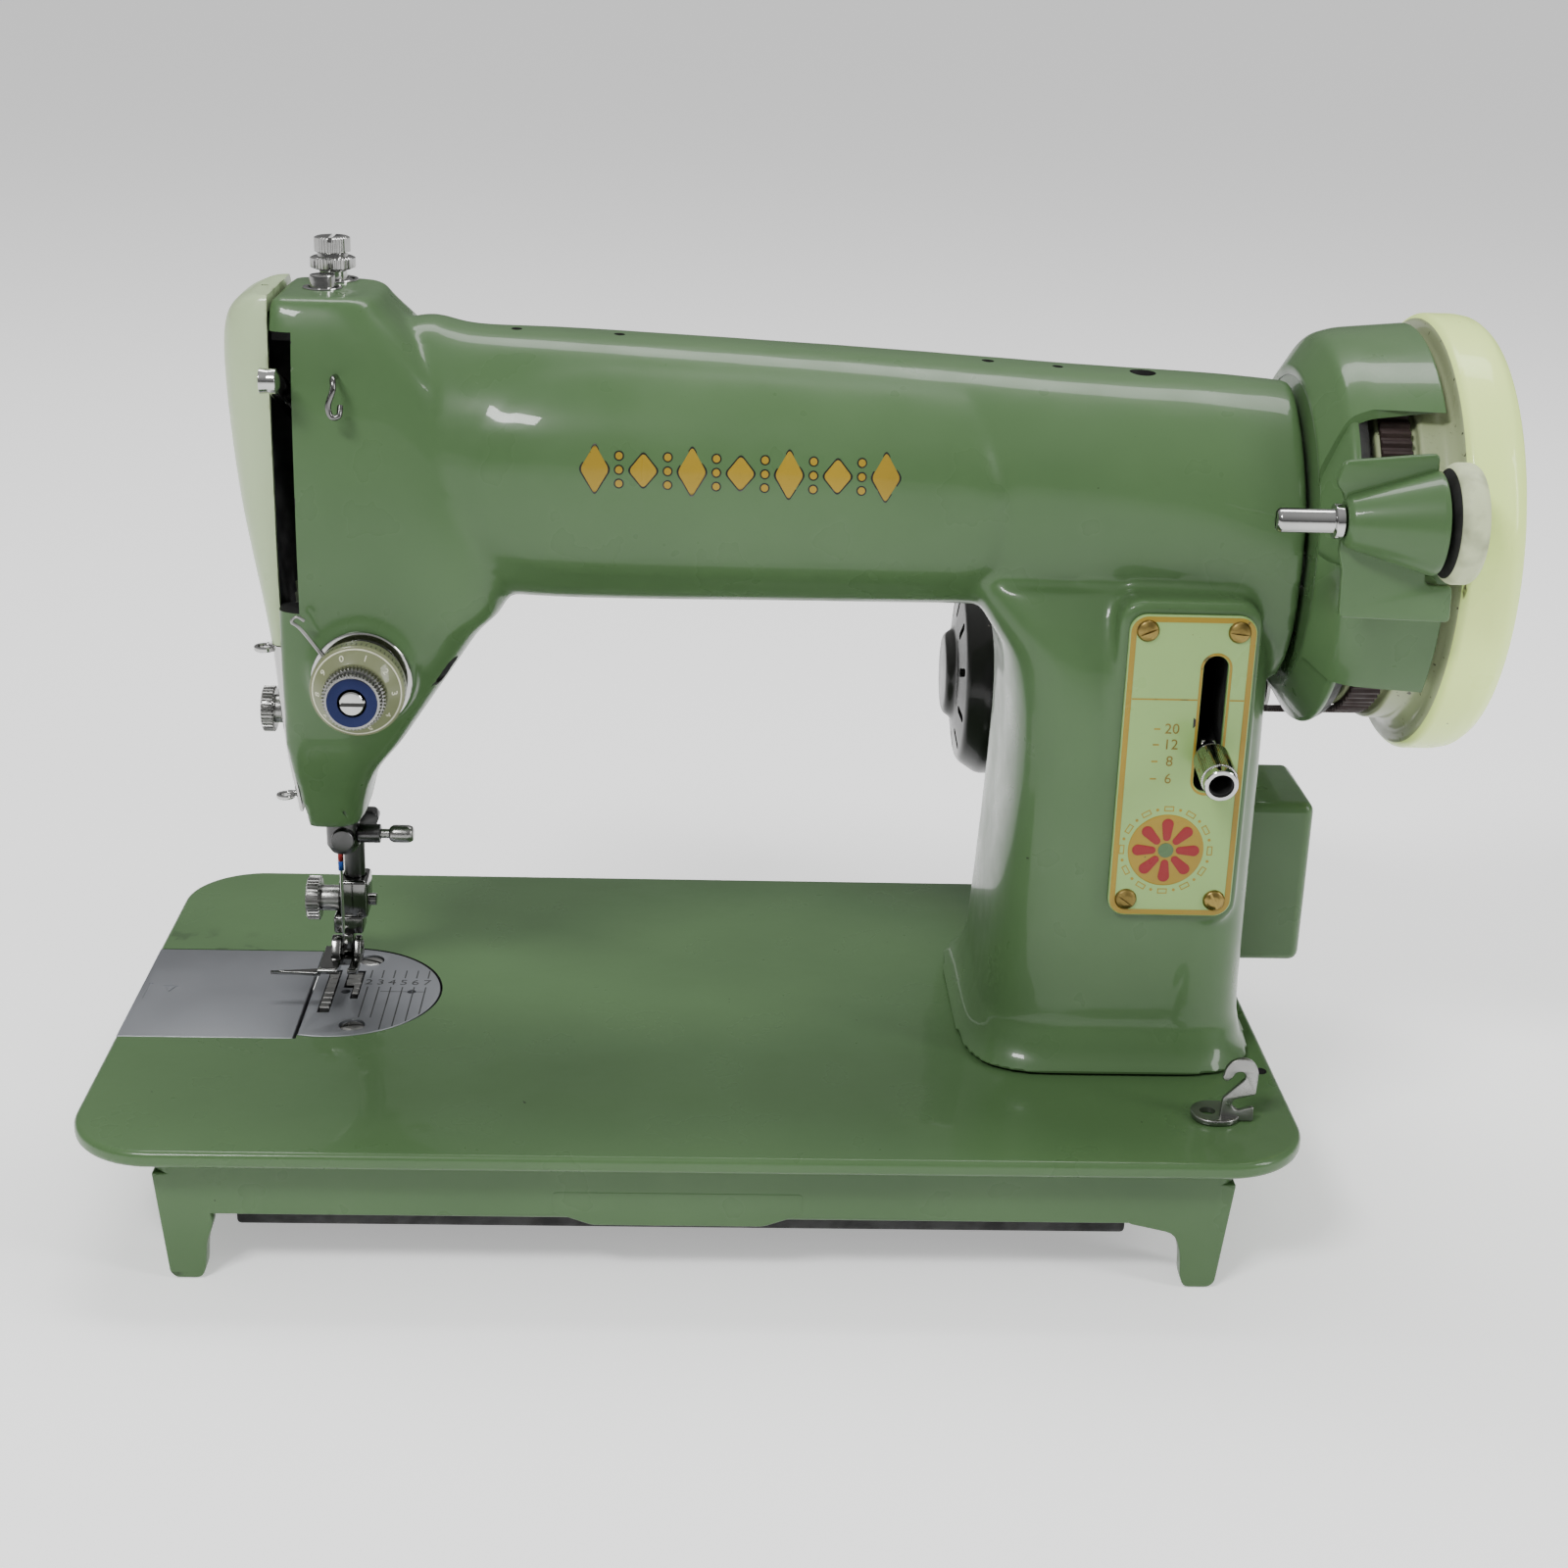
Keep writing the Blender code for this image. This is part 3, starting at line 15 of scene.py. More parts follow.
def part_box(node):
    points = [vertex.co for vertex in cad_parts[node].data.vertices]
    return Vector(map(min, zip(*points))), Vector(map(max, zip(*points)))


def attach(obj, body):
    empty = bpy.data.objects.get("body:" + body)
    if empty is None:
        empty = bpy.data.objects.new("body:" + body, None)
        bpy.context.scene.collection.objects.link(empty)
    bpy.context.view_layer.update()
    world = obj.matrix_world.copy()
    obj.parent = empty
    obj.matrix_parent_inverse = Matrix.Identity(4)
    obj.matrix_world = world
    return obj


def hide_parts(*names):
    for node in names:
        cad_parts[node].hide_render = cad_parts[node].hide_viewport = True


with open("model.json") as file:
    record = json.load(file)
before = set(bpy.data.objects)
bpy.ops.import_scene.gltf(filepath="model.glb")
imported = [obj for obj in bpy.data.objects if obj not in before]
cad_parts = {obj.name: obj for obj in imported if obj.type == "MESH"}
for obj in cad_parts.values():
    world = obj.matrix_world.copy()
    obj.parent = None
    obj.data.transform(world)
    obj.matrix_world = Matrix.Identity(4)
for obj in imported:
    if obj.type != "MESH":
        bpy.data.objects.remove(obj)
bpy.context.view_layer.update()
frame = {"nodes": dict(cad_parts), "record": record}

NODE_SLOT = {entry["node"]: entry["material_slot"] for entry in frame["record"]["subparts"]}

# ------------------------------------------------------------------ places from the frame

MM = 0.001
BED_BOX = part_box("bed_casting")
HOME = Vector(((BED_BOX[0].x + BED_BOX[1].x) / 2, (BED_BOX[0].y + BED_BOX[1].y) / 2, 0))
TO_FRAME = Matrix.Translation(HOME) @ Matrix.Scale(MM, 4)
TO_MACHINE = TO_FRAME.inverted()


def reach(node):
    """Lowest and highest corner of a CAD node, in the machine's millimetres."""
    return [(corner - HOME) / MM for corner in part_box(node)]


def middle(node):
    low, high = reach(node)
    return (low + high) / 2


ARM_Y, ARM_Z = middle("stop_motion_knob").yz
BED_X, BED_Y, BED_TOP = reach("bed_casting")[1]
TENSION_X, TENSION_Z = middle("tension_dial").xz
WINDER_Y, WINDER_Z = middle("winder_tyre").yz
PIN_Y, PIN_Z = middle("winder_pivot_pin").yz
MOTOR_Y, MOTOR_Z = middle("motor_pulley").yz
NEEDLE_X, NEEDLE_Y = middle("needle").xy
PRESSER_X, PRESSER_Y = middle("pressure_screw").xy
SLIDE_LOW, SLIDE_HIGH = reach("slide_plate")
STITCH_LOW, STITCH_HIGH = reach("stitch_plate")
LEVER_X = middle("stitch_lever").x
PLATE_HIGH = reach("needle_plate")[1]
PLATE_R = 28.5
PLATE_X, PLATE_Y = PLATE_HIGH.x + 0.3 - PLATE_R, middle("needle_plate").y
SCREW_FRONT = middle("needle_plate_screw_front")
SCREW_BACK = middle("needle_plate_screw_back")
FACE_X = reach("arm_casting")[0].x
HEAD_TOP = reach("arm_casting")[1].z
ARM_END = 151
SLIDE_EDGE = SLIDE_HIGH.x + 0.3
BAR_X, BAR_Y = -96.6, 3.6
LEVER_Y, LEVER_Z = 8, 137.5
LEVER_REST = math.radians(8.7)
PAD_Y = -36.6
TAKE_UP_PIVOT = (9.6, 203)
TAKE_UP_EYE = (-27.5, 217.3)
FOOT_PIN_Y, FOOT_PIN_Z = middle("foot_hinge_pin").yz
SOLE = reach("presser_foot")[0].z
SKIRT_X0, SKIRT_X1, SKIRT_Y, SKIRT_Z = -134, 137, 81, 18.5
WALL = 4

# ------------------------------------------------------------------ mesh tools


def make(name, bm):
    mesh = bpy.data.meshes.new(name)
    bm.to_mesh(mesh)
    bm.free()
    thing = bpy.data.objects.new(name, mesh)
    bpy.context.scene.collection.objects.link(thing)
    return thing


def outward(bm):
    bmesh.ops.recalc_face_normals(bm, faces=bm.faces[:])
    if bm.calc_volume(signed=True) < 0:
        bmesh.ops.reverse_faces(bm, faces=bm.faces[:])


def skin(name, rows, loop=False):
    """Skin equal rings of points; a row of one point closes the shape to a tip."""
    bm = bmesh.new()
    rings = [[bm.verts.new(point) for point in row] for row in rows]
    pairs = list(zip(rings, rings[1:]))
    if loop:
        pairs.append((rings[-1], rings[0]))
    for low, high in pairs:
        count = max(len(low), len(high))
        for i in range(count):
            j = (i + 1) % count
            if len(low) == 1:
                bm.faces.new((low[0], high[j], high[i]))
            elif len(high) == 1:
                bm.faces.new((low[i], low[j], high[0]))
            else:
                bm.faces.new((low[i], low[j], high[j], high[i]))
    if not loop:
        for ring in (rings[0], rings[-1]):
            if len(ring) > 2:
                bm.faces.new(ring)
    outward(bm)
    return make(name, bm)


AXES = {
    "X": Matrix(((0, 0, 1, 0), (1, 0, 0, 0), (0, 1, 0, 0), (0, 0, 0, 1))),
    "Y": Matrix(((1, 0, 0, 0), (0, 0, 1, 0), (0, 1, 0, 0), (0, 0, 0, 1))),
    "Z": Matrix.Identity(4),
}


def stand(thing, axis, at=(0, 0, 0)):
    """Turn a shape drawn along Z to stand along an axis, from a point."""
    matrix = Matrix.Translation(Vector(at)) @ AXES[axis]
    thing.data.transform(matrix)
    if matrix.determinant() < 0:
        thing.data.flip_normals()
    return thing


def soften(points, radius, loop, steps=3):
    """Round each corner of a (u, v) outline."""
    corners = [Vector(point) for point in points]
    count = len(corners)
    result = []
    for i, here in enumerate(corners):
        if not loop and i in (0, count - 1):
            result.append(tuple(here))
            continue
        before, after = corners[i - 1] - here, corners[(i + 1) % count] - here
        if before.length < 1e-6 or after.length < 1e-6:
            result.append(tuple(here))
            continue
        bend = math.pi - before.angle(after)
        if bend < 0.15:
            result.append(tuple(here))
            continue
        near = min(radius, 0.42 * before.length, 0.42 * after.length)
        start, end = here + before.normalized() * near, here + after.normalized() * near
        for k in range(steps + 1):
            t = k / steps
            result.append(tuple(start * (1 - t) ** 2 + here * 2 * t * (1 - t) + end * t ** 2))
    return result


def lathe(name, axis, at, profile, soft=0.3, sides=96, steps=3):
    """Turn a (along, radius) outline about an axis."""
    loop = profile[0][1] > 0 or profile[-1][1] > 0
    rows = []
    for along, radius in soften(profile, soft, loop, steps):
        if radius < 1e-5:
            rows.append([(0, 0, along)])
        else:
            rows.append([(radius * math.cos(math.tau * i / sides),
                          radius * math.sin(math.tau * i / sides), along)
                         for i in range(sides)])
    return stand(skin(name, rows, loop), axis, at)


def rod(name, axis, start, length, radius, soft=0.3, sides=64, tip=None):
    end = radius if tip is None else tip
    return lathe(name, axis, start, [(0, 0), (0, radius), (length, end), (length, 0)], soft, sides)


def tube(name, axis, at, along, bore, radius, soft=0.3, sides=80):
    return lathe(name, axis, at, [(along[1], bore), (along[1], radius), (along[0], radius),
                                  (along[0], bore)], soft, sides)


def knurl(name, axis, at, along, radius, bore=0, teeth=40, depth=0.4, edge=0.5):
    """A disc or barrel with straight knurling."""
    low, high = along
    rows = []
    for z, shrink in ((low, edge), (low + edge * 0.5, 0), (high - edge * 0.5, 0), (high, edge)):
        row = []
        for i in range(teeth * 4):
            turn = math.tau * i / (teeth * 4)
            r = radius - max(shrink, depth if i % 4 > 1 else 0)
            row.append((r * math.cos(turn), r * math.sin(turn), z))
        rows.append(row)
    if bore:
        for z in (high, low):
            rows.append([(bore * math.cos(math.tau * i / (teeth * 4)),
                          bore * math.sin(math.tau * i / (teeth * 4)), z)
                         for i in range(teeth * 4)])
    return stand(skin(name, rows, bool(bore)), axis, at)


def block(name, x, y, z, soft=0.4, segments=3):
    """A block between (low, high) pairs, with round edges."""
    bm = bmesh.new()
    bmesh.ops.create_cube(bm, size=1)
    bmesh.ops.scale(bm, vec=(x[1] - x[0], y[1] - y[0], z[1] - z[0]), verts=bm.verts)
    bmesh.ops.translate(bm, vec=((x[0] + x[1]) / 2, (y[0] + y[1]) / 2, (z[0] + z[1]) / 2),
                        verts=bm.verts)
    if soft:
        bmesh.ops.bevel(bm, geom=bm.edges[:], offset=soft, segments=segments, affect="EDGES",
                        profile=0.5)
    return make(name, bm)


def area(loop):
    return sum(a[0] * b[1] - b[0] * a[1] for a, b in zip(loop, loop[1:] + loop[:1])) / 2


def from_curve(name, curve):
    """The closed mesh of a curve."""
    guide = bpy.data.objects.new(name, curve)
    bpy.context.scene.collection.objects.link(guide)
    graph = bpy.context.evaluated_depsgraph_get()
    mesh = bpy.data.meshes.new_from_object(guide.evaluated_get(graph))
    bpy.data.objects.remove(guide, do_unlink=True)
    bm = bmesh.new()
    bm.from_mesh(mesh)
    bmesh.ops.remove_doubles(bm, verts=bm.verts, dist=0.0008)
    bmesh.ops.dissolve_degenerate(bm, edges=bm.edges[:], dist=0.0005)
    outward(bm)
    return make(name, bm)


def prism(name, axis, outline, low, high, soft=0.3, holes=(), steps=2):
    """Extrude an outline with rounded rims; (u, v) is (x, y), (y, z) or (x, z)."""
    curve = bpy.data.curves.new(name, "CURVE")
    curve.dimensions = "2D"
    curve.fill_mode = "BOTH"
    curve.extrude = (high - low) / 2 - soft
    curve.bevel_depth = soft
    curve.bevel_resolution = steps
    curve.offset = -soft
    for number, points in enumerate((outline, *holes)):
        points = list(points)
        if (area(points) > 0) == (number > 0):
            points.reverse()
        spline = curve.splines.new("POLY")
        spline.points.add(len(points) - 1)
        for target, (u, v) in zip(spline.points, points):
            target.co = (u, v, 0, 1)
        spline.use_cyclic_u = True
    thing = from_curve(name, curve)
    thing.data.transform(Matrix.Translation((0, 0, (low + high) / 2)))
    return stand(thing, axis)


def refine(rows, steps):
    """More rows of numbers between the given ones, on a smooth curve through them."""
    result = []
    last = len(rows) - 1
    for i in range(last):
        around = [rows[max(i - 1, 0)], rows[i], rows[i + 1], rows[min(i + 2, last)]]
        for k in range(steps):
            t = k / steps
            weights = (-t + 2 * t * t - t ** 3, 2 - 5 * t * t + 3 * t ** 3,
                       t + 4 * t * t - 3 * t ** 3, t ** 3 - t * t)
            result.append(tuple(sum(w * row[c] for w, row in zip(weights, around)) / 2
                                for c in range(len(rows[0]))))
    result.append(tuple(rows[-1]))
    return result


def wire(name, points, radius, steps=6, sides=4):
    """A round wire on a smooth line through the points."""
    curve = bpy.data.curves.new(name, "CURVE")
    curve.dimensions = "3D"
    curve.bevel_depth = radius
    curve.bevel_resolution = sides
    curve.use_fill_caps = True
    line = refine(points, steps) if steps > 1 else points
    spline = curve.splines.new("POLY")
    spline.points.add(len(line) - 1)
    for target, point in zip(spline.points, line):
        target.co = (*point, 1)
    return from_curve(name, curve)


def figure(text, size, thick):
    """A number as a thin solid in the XY plane, centred."""
    curve = bpy.data.curves.new("figure", "FONT")
    curve.body = text
    curve.size = size
    curve.align_x = "CENTER"
    curve.align_y = "CENTER"
    curve.extrude = thick / 2
    curve.resolution_u = 3
    return from_curve("figure", curve)


def apply(thing):
    """Bake the modifiers into the mesh."""
    graph = bpy.context.evaluated_depsgraph_get()
    graph.update()
    mesh = bpy.data.meshes.new_from_object(thing.evaluated_get(graph))
    thing.modifiers.clear()
    thing.data = mesh
    return thing


def shape(target, operation, others, solver):
    for other in others:
        change = target.modifiers.new("change", "BOOLEAN")
        change.operation = operation
        change.solver = solver
        change.object = other
        apply(target)
        bpy.data.objects.remove(other, do_unlink=True)
    return target


def join(target, *others, solver="MANIFOLD"):
    return shape(target, "UNION", others, solver)


def cut(target, *others, solver="MANIFOLD"):
    return shape(target, "DIFFERENCE", others, solver)


def gather(name, things):
    """One object from several closed solids that don't touch."""
    bm = bmesh.new()
    for thing in things:
        bm.from_mesh(thing.data)
        bpy.data.objects.remove(thing, do_unlink=True)
    return make(name, bm)


def piece(name, thing, look, *nodes, body="frame", slot=None, crease=32):
    mesh = thing.data
    mesh.transform(TO_FRAME)
    mesh.materials.clear()
    mesh.materials.append(look)
    mesh.shade_smooth()
    mesh.set_sharp_from_angle(angle=math.radians(crease))
    thing.name = name
    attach(thing, body)
    if nodes:
        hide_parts(*nodes)
    return thing


def repaint(thing, look, where):
    """Give another material to the faces that where(centre, normal) picks, in machine mm."""
    thing.data.materials.append(look)
    number = len(thing.data.materials) - 1
    for face in thing.data.polygons:
        if where(TO_MACHINE @ face.center, face.normal):
            face.material_index = number


def line_rooms(thing, look, rooms):
    """Give the faces inside the given (low, high) boxes another material."""
    repaint(thing, look, lambda spot, normal: any(
        all(low[k] <= spot[k] <= high[k] for k in range(3)) for low, high in rooms))


def place(thing, spot, turn=0, axis="Y"):
    """Turn a shape about an axis through its origin, then move it to a spot."""
    thing.data.transform(Matrix.Translation(spot) @ Matrix.Rotation(turn, 4, axis))
    return thing


def arc(cx, cy, radius, start, end, steps=16):
    return [(cx + radius * math.cos(math.radians(start + (end - start) * i / steps)),
             cy + radius * math.sin(math.radians(start + (end - start) * i / steps)))
            for i in range(steps + 1)]


def circle(cx, cy, radius, sides=48):
    return arc(cx, cy, radius, 0, 360 - 360 / sides, sides - 1)


def rounded(x0, x1, y0, y1, radius, steps=10):
    return (arc(x1 - radius, y1 - radius, radius, 0, 90, steps)
            + arc(x0 + radius, y1 - radius, radius, 90, 180, steps)
            + arc(x0 + radius, y0 + radius, radius, 180, 270, steps)
            + arc(x1 - radius, y0 + radius, radius, 270, 360, steps))


def stadium(p, q, radius_p, radius_q, steps=20):
    """The outline round two circles, such as a link's."""
    way = math.degrees(math.atan2(q[1] - p[1], q[0] - p[0]))
    apart = math.hypot(q[0] - p[0], q[1] - p[1])
    lean = math.degrees(math.acos((radius_p - radius_q) / apart))
    return (arc(p[0], p[1], radius_p, way + lean, way + 360 - lean, steps)
            + arc(q[0], q[1], radius_q, way - lean, way + lean, steps))


# ------------------------------------------------------------------ materials


def fill(node, **values):
    """Set a node's inputs; an underscore stands for a space in an input's name."""
    for name, value in values.items():
        node.inputs[name.replace("_", " ")].default_value = value


class Look:
    """A procedural material under construction."""

    def __init__(self, name, colour, metallic=0, roughness=0.4):
        self.material = bpy.data.materials.new(name)
        self.material.use_nodes = True
        self.nodes = self.material.node_tree.nodes
        self.links = self.material.node_tree.links
        self.shader = self.nodes["Principled BSDF"]
        self.colour = colour
        fill(self.shader, Base_Color=(*colour, 1), Metallic=metallic, Roughness=roughness)
        self.space = self.nodes.new("ShaderNodeTexCoord").outputs["Object"]
        self.painted = None

    def noise(self, scale, detail=3, stretch=None):
        source = self.space
        if stretch:
            mapping = self.nodes.new("ShaderNodeMapping")
            fill(mapping, Scale=stretch)
            self.links.new(source, mapping.inputs["Vector"])
            source = mapping.outputs["Vector"]
        texture = self.nodes.new("ShaderNodeTexNoise")
        fill(texture, Scale=scale, Detail=detail)
        self.links.new(source, texture.inputs["Vector"])
        return texture.outputs["Fac"]

    def spread(self, value, low, high, to_low=0, to_high=1):
        node = self.nodes.new("ShaderNodeMapRange")
        fill(node, From_Min=low, From_Max=high, To_Min=to_low, To_Max=to_high)
        self.links.new(value, node.inputs["Value"])
        return node.outputs["Result"]

    def tint(self, factor, colour):
        """Mix another colour over what is there, by a factor."""
        mix = self.nodes.new("ShaderNodeMix")
        mix.data_type = "RGBA"
        self.links.new(factor, mix.inputs["Factor"])
        if self.painted:
            self.links.new(self.painted, mix.inputs["A"])
        else:
            mix.inputs["A"].default_value = (*self.colour, 1)
        mix.inputs["B"].default_value = (*colour, 1)
        self.painted = mix.outputs["Result"]
        self.links.new(self.painted, self.shader.inputs["Base Color"])
        return self

    def worn_edges(self, low, high):
        """Where the surface is sharply convex, broken up by noise."""
        convex = self.nodes.new("ShaderNodeNewGeometry").outputs["Pointiness"]
        product = self.nodes.new("ShaderNodeMath")
        product.operation = "MULTIPLY"
        self.links.new(self.spread(convex, low, high), product.inputs[0])
        self.links.new(self.spread(self.noise(130), 0.56, 0.66), product.inputs[1])
        return product.outputs["Value"]

    def rough(self, factor, low, high):
        self.links.new(self.spread(factor, 0.35, 0.65, low, high), self.shader.inputs["Roughness"])
        return self

    def bump(self, height, strength, distance):
        node = self.nodes.new("ShaderNodeBump")
        fill(node, Strength=strength, Distance=distance)
        self.links.new(height, node.inputs["Height"])
        self.links.new(node.outputs["Normal"], self.shader.inputs["Normal"])
        return self

    def coat(self, weight, roughness):
        fill(self.shader, Coat_Weight=weight, Coat_Roughness=roughness)
        return self


def enamel(name, colour, shade, chip, chips=0.79):
    """Gloss stove enamel: slow colour drift, fine orange peel, worn edges and small chips."""
    look = Look(name, colour, roughness=0.34)
    look.tint(look.spread(look.noise(14), 0.35, 0.7), shade)
    look.tint(look.spread(look.noise(900, 1), 0.62, 0.8, 0, 0.25), shade)
    look.tint(look.worn_edges(0.56, 0.62), chip)
    look.tint(look.spread(look.noise(420, 2), chips, chips + 0.02), chip)
    look.rough(look.noise(60), 0.26, 0.40)
    look.bump(look.noise(420, 2), 0.08, 0.0002)
    fill(look.shader, Specular_IOR_Level=0.18)
    return look.coat(0.30, 0.045).material


def metal(name, colour, roughness, streak=None, grime=0.25, drift=1):
    """Plated or machined metal, with fine brushing along streak where given."""
    look = Look(name, colour, 1, roughness)
    dirt = tuple(c * 0.35 for c in colour)
    look.tint(look.spread(look.noise(55), 0.45, 0.75, 0, grime), dirt)
    look.rough(look.noise(90), roughness * (1 - 0.25 * drift), roughness * (1 + 0.4 * drift))
    fine = look.noise(700, 2, streak) if streak else look.noise(500)
    return look.bump(fine, 0.12 if streak else 0.06, 0.0002).material


def soft_rubber(name, colour, dust):
    look = Look(name, colour, roughness=0.65)
    look.tint(look.spread(look.noise(120), 0.5, 0.75, 0, 0.5), dust)
    look.rough(look.noise(200), 0.5, 0.8)
    return look.bump(look.noise(1500), 0.2, 0.0002).material


GREEN = enamel("green_gloss", (0.068, 0.130, 0.052), (0.056, 0.110, 0.043), (0.012, 0.014, 0.008))
PALE = enamel("pale_gloss", (0.78, 0.98, 0.31), (0.72, 0.92, 0.29), (0.10, 0.10, 0.05), 0.77)
# The face cover's darker copy of the pale enamel: painted shade, the wheel's own paint darkened where
# the cover's side lies in shadow.
PALE_COVER_SHADE = enamel("pale_cover_painted_shade", (0.42, 0.53, 0.31), (0.38, 0.48, 0.28), (0.10, 0.10, 0.05))
# The wheel's inner side facing the guard: partly real grime, partly painted shade from the guard's
# shadow.
PALE_GRIME_AND_SHADE = enamel("pale_grime_and_painted_shade", (0.36, 0.42, 0.24), (0.16, 0.17, 0.09), (0.05, 0.05, 0.03), 0.7)
PLATE_PALE = enamel("plate_gloss", (0.25, 0.40, 0.13), (0.22, 0.35, 0.115), (0.12, 0.10, 0.03))
BLACK = enamel("black_gloss", (0.012, 0.012, 0.012), (0.02, 0.02, 0.018), (0.12, 0.11, 0.1))
# Matt black: the real colour of the drip pan and terminal liner and of grime on the winder tyre, and
# painted shade inside holes, rooms, recesses and covers.
BLACK_AND_SHADE = soft_rubber("matt_black_and_painted_shade", (0.010, 0.010, 0.010), (0.025, 0.024, 0.02))
CHROME = metal("chrome", (0.48, 0.48, 0.47), 0.10, grime=0.35)
STEEL = metal("steel", (0.30, 0.30, 0.29), 0.30, (1, 1, 12), 0.4)
PLATE_STEEL = metal("plate_steel", (0.28, 0.29, 0.31), 0.46, (14, 1, 1), 0.04, 0.1)
DARK_STEEL = metal("dark_steel", (0.09, 0.09, 0.09), 0.30, grime=0.5)
BLUED = metal("blued_steel", (0.02, 0.025, 0.07), 0.3)
BRASS = metal("brass", (0.26, 0.19, 0.06), 0.35, grime=0.7)
NICKEL = metal("old_nickel", (0.16, 0.16, 0.155), 0.14, grime=0.6)
GOLD = enamel("gold_line", (0.30, 0.20, 0.018), (0.21, 0.14, 0.016), (0.08, 0.06, 0.015), 0.74)
BELT = soft_rubber("belt_rubber", (0.022, 0.010, 0.009), (0.05, 0.03, 0.025))
DIAL = enamel("dial_enamel", (0.20, 0.22, 0.12), (0.15, 0.165, 0.09), (0.05, 0.05, 0.03))
TYRE = soft_rubber("tyre_rubber", (0.50, 0.56, 0.34), (0.05, 0.05, 0.03))
INK = soft_rubber("ink", (0.015, 0.015, 0.015), (0.03, 0.03, 0.03))
LIGHT_INK = soft_rubber("light_ink", (0.62, 0.62, 0.48), (0.40, 0.40, 0.30))
RED = enamel("red_enamel", (0.24, 0.010, 0.012), (0.19, 0.010, 0.012), (0.1, 0.02, 0.02))
HEAT_RED = metal("heat_red", (0.16, 0.02, 0.02), 0.25)
HEAT_BLUE = metal("heat_blue", (0.02, 0.05, 0.20), 0.25)

SLOT_LOOKS = {
    "iron_green": GREEN, "green_enamel": GREEN, "pale_enamel": PALE, "wheel_enamel": PALE,
    "black_enamel": BLACK, "motor_black": BLACK, "bright_steel": STEEL, "chrome_plate": CHROME,
    "dark_steel": DARK_STEEL, "brass_fittings": BRASS, "belt_rubber": BELT, "dial_cream": DIAL,
}
for node, thing in frame["nodes"].items():
    thing.data.materials.clear()
    thing.data.materials.append(SLOT_LOOKS[NODE_SLOT[node]])


# ------------------------------------------------------------------ castings

# Head and nose, from the bottom up: height, x low, x high, y low, y high
HEAD = (
    (93, -103.8, -90.2, -7.5, 27), (97, -104.5, -89.3, -9, 28),
    (104, -105.6, -87.5, -11.5, 28.5), (111, -106.6, -84, -14.5, 29),
    (118, FACE_X, -78.5, -17.5, 29.5), (127, FACE_X, -72.5, -20, 30),
    (139, FACE_X, -64.5, -22, 31), (150, FACE_X, -57, -22.8, 31.5),
    (158, FACE_X, -50, -23, 32), (175, FACE_X, -50, -23, 32),
    (195, FACE_X, -55, -22, 31), (212, FACE_X, -62, -20.5, 30),
    (224, FACE_X, -72, -18, 28), (231, FACE_X, -79, -15.5, 25),
    (HEAD_TOP, FACE_X, -82, -13, 22.5),
)
# Arm, from the head to the wheel: x, top, bottom, half depth, squareness
ARM = (
    (-92, 221, 164, 21, 3), (-72, 228.5, 161, 24.5, 3),
    (-58, 226.4, 159, 27, 3), (-30, 225.6, 158, 28.5, 3.2),
    (40, 222.5, 158.5, 29, 3.2), (95, 219.4, 158, 29.5, 3.2),
    (125, 218.2, 150, 31, 3), (142, 217.3, 141, 33, 2.6),
    (ARM_END, 216.5, 138.5, 34, 2.4),
)
# Pillar, from the bed up: height, x low, x high, y low, y high
PILLAR = (
    (BED_TOP + 0.3, 69, 152.5, -45, 51), (43, 73.5, 150, -41.5, 48),
    (49, 76.5, 148.3, -38.8, 46), (60, 78, 147.6, -37, 45),
    (120, 81, 147.3, -36, 44), (146, 79, 147.3, -34.5, 42),
    (158, 73, 147.5, -31.5, 39), (168, 66, 147, -26, 34),
)
# Raised front panel, from the head to the pillar: x, drop of its edges, rise
PANEL = (
    (-68, 14, -6), (-58, 6, -1.6), (-48, 3, 0.8), (-34, 2, 2.4), (0, 1.8, 3),
    (58, 1.8, 3), (67, 2.6, 2.9), (71.5, 5, 2.4), (75, 9.5, 1.2), (77, 16, -0.4),
)
RING_POINTS = 120
CAST_GRAIN = 1.25        # size of the castings' mesh, in mm
LOZENGES = 7
ORNAMENT_ROOT = 0.10     # how far the ornament reaches into the casting, in mm
OIL_HOLES = ((-48, 1.4), (-22, 1.4), (72, 1.6), (90, 1.4), (112, 3.4))


def squircle(x0, x1, y0, y1, power):
    cx, cy = (x0 + x1) / 2, (y0 + y1) / 2
    points = []
    for i in range(RING_POINTS):
        turn = math.tau * (i + 0.5) / RING_POINTS
        c, s = math.cos(turn), math.sin(turn)
        points.append((cx + math.copysign(abs(c) ** (2 / power), c) * (x1 - x0) / 2,
                       cy + math.copysign(abs(s) ** (2 / power), s) * (y1 - y0) / 2))
    return points


def arm_ring(x, top, bottom, half, power):
    """One arm section: a squircle that narrows towards its flat top."""
    centre = (top + bottom) / 2
    points = []
    for y, z in squircle(-half, half, bottom, top, power):
        rise = max(0, (z - centre) / (top - centre))
        points.append((x, ARM_Y + y * (1 - 0.42 * rise ** 2.2), z))
    return points


def panel_ring(x, drop, rise):
    """The raised front panel's section: the arm's, moved forward by rise."""
    top = 226.4 - 7 * (x + 58) / 153
    points = arm_ring(x, top - drop, 161 + 0.5 * drop, 28.6, 3.2)
    return [(px, py - rise, pz) for px, py, pz in points]


def head_ring(z, x0, x1, y0, y1):
    # drawn wider and then pressed flat at the open left side
    return [(max(x, x0), y, z) for x, y in squircle(x0 - 5, x1, y0, y1, 4)]


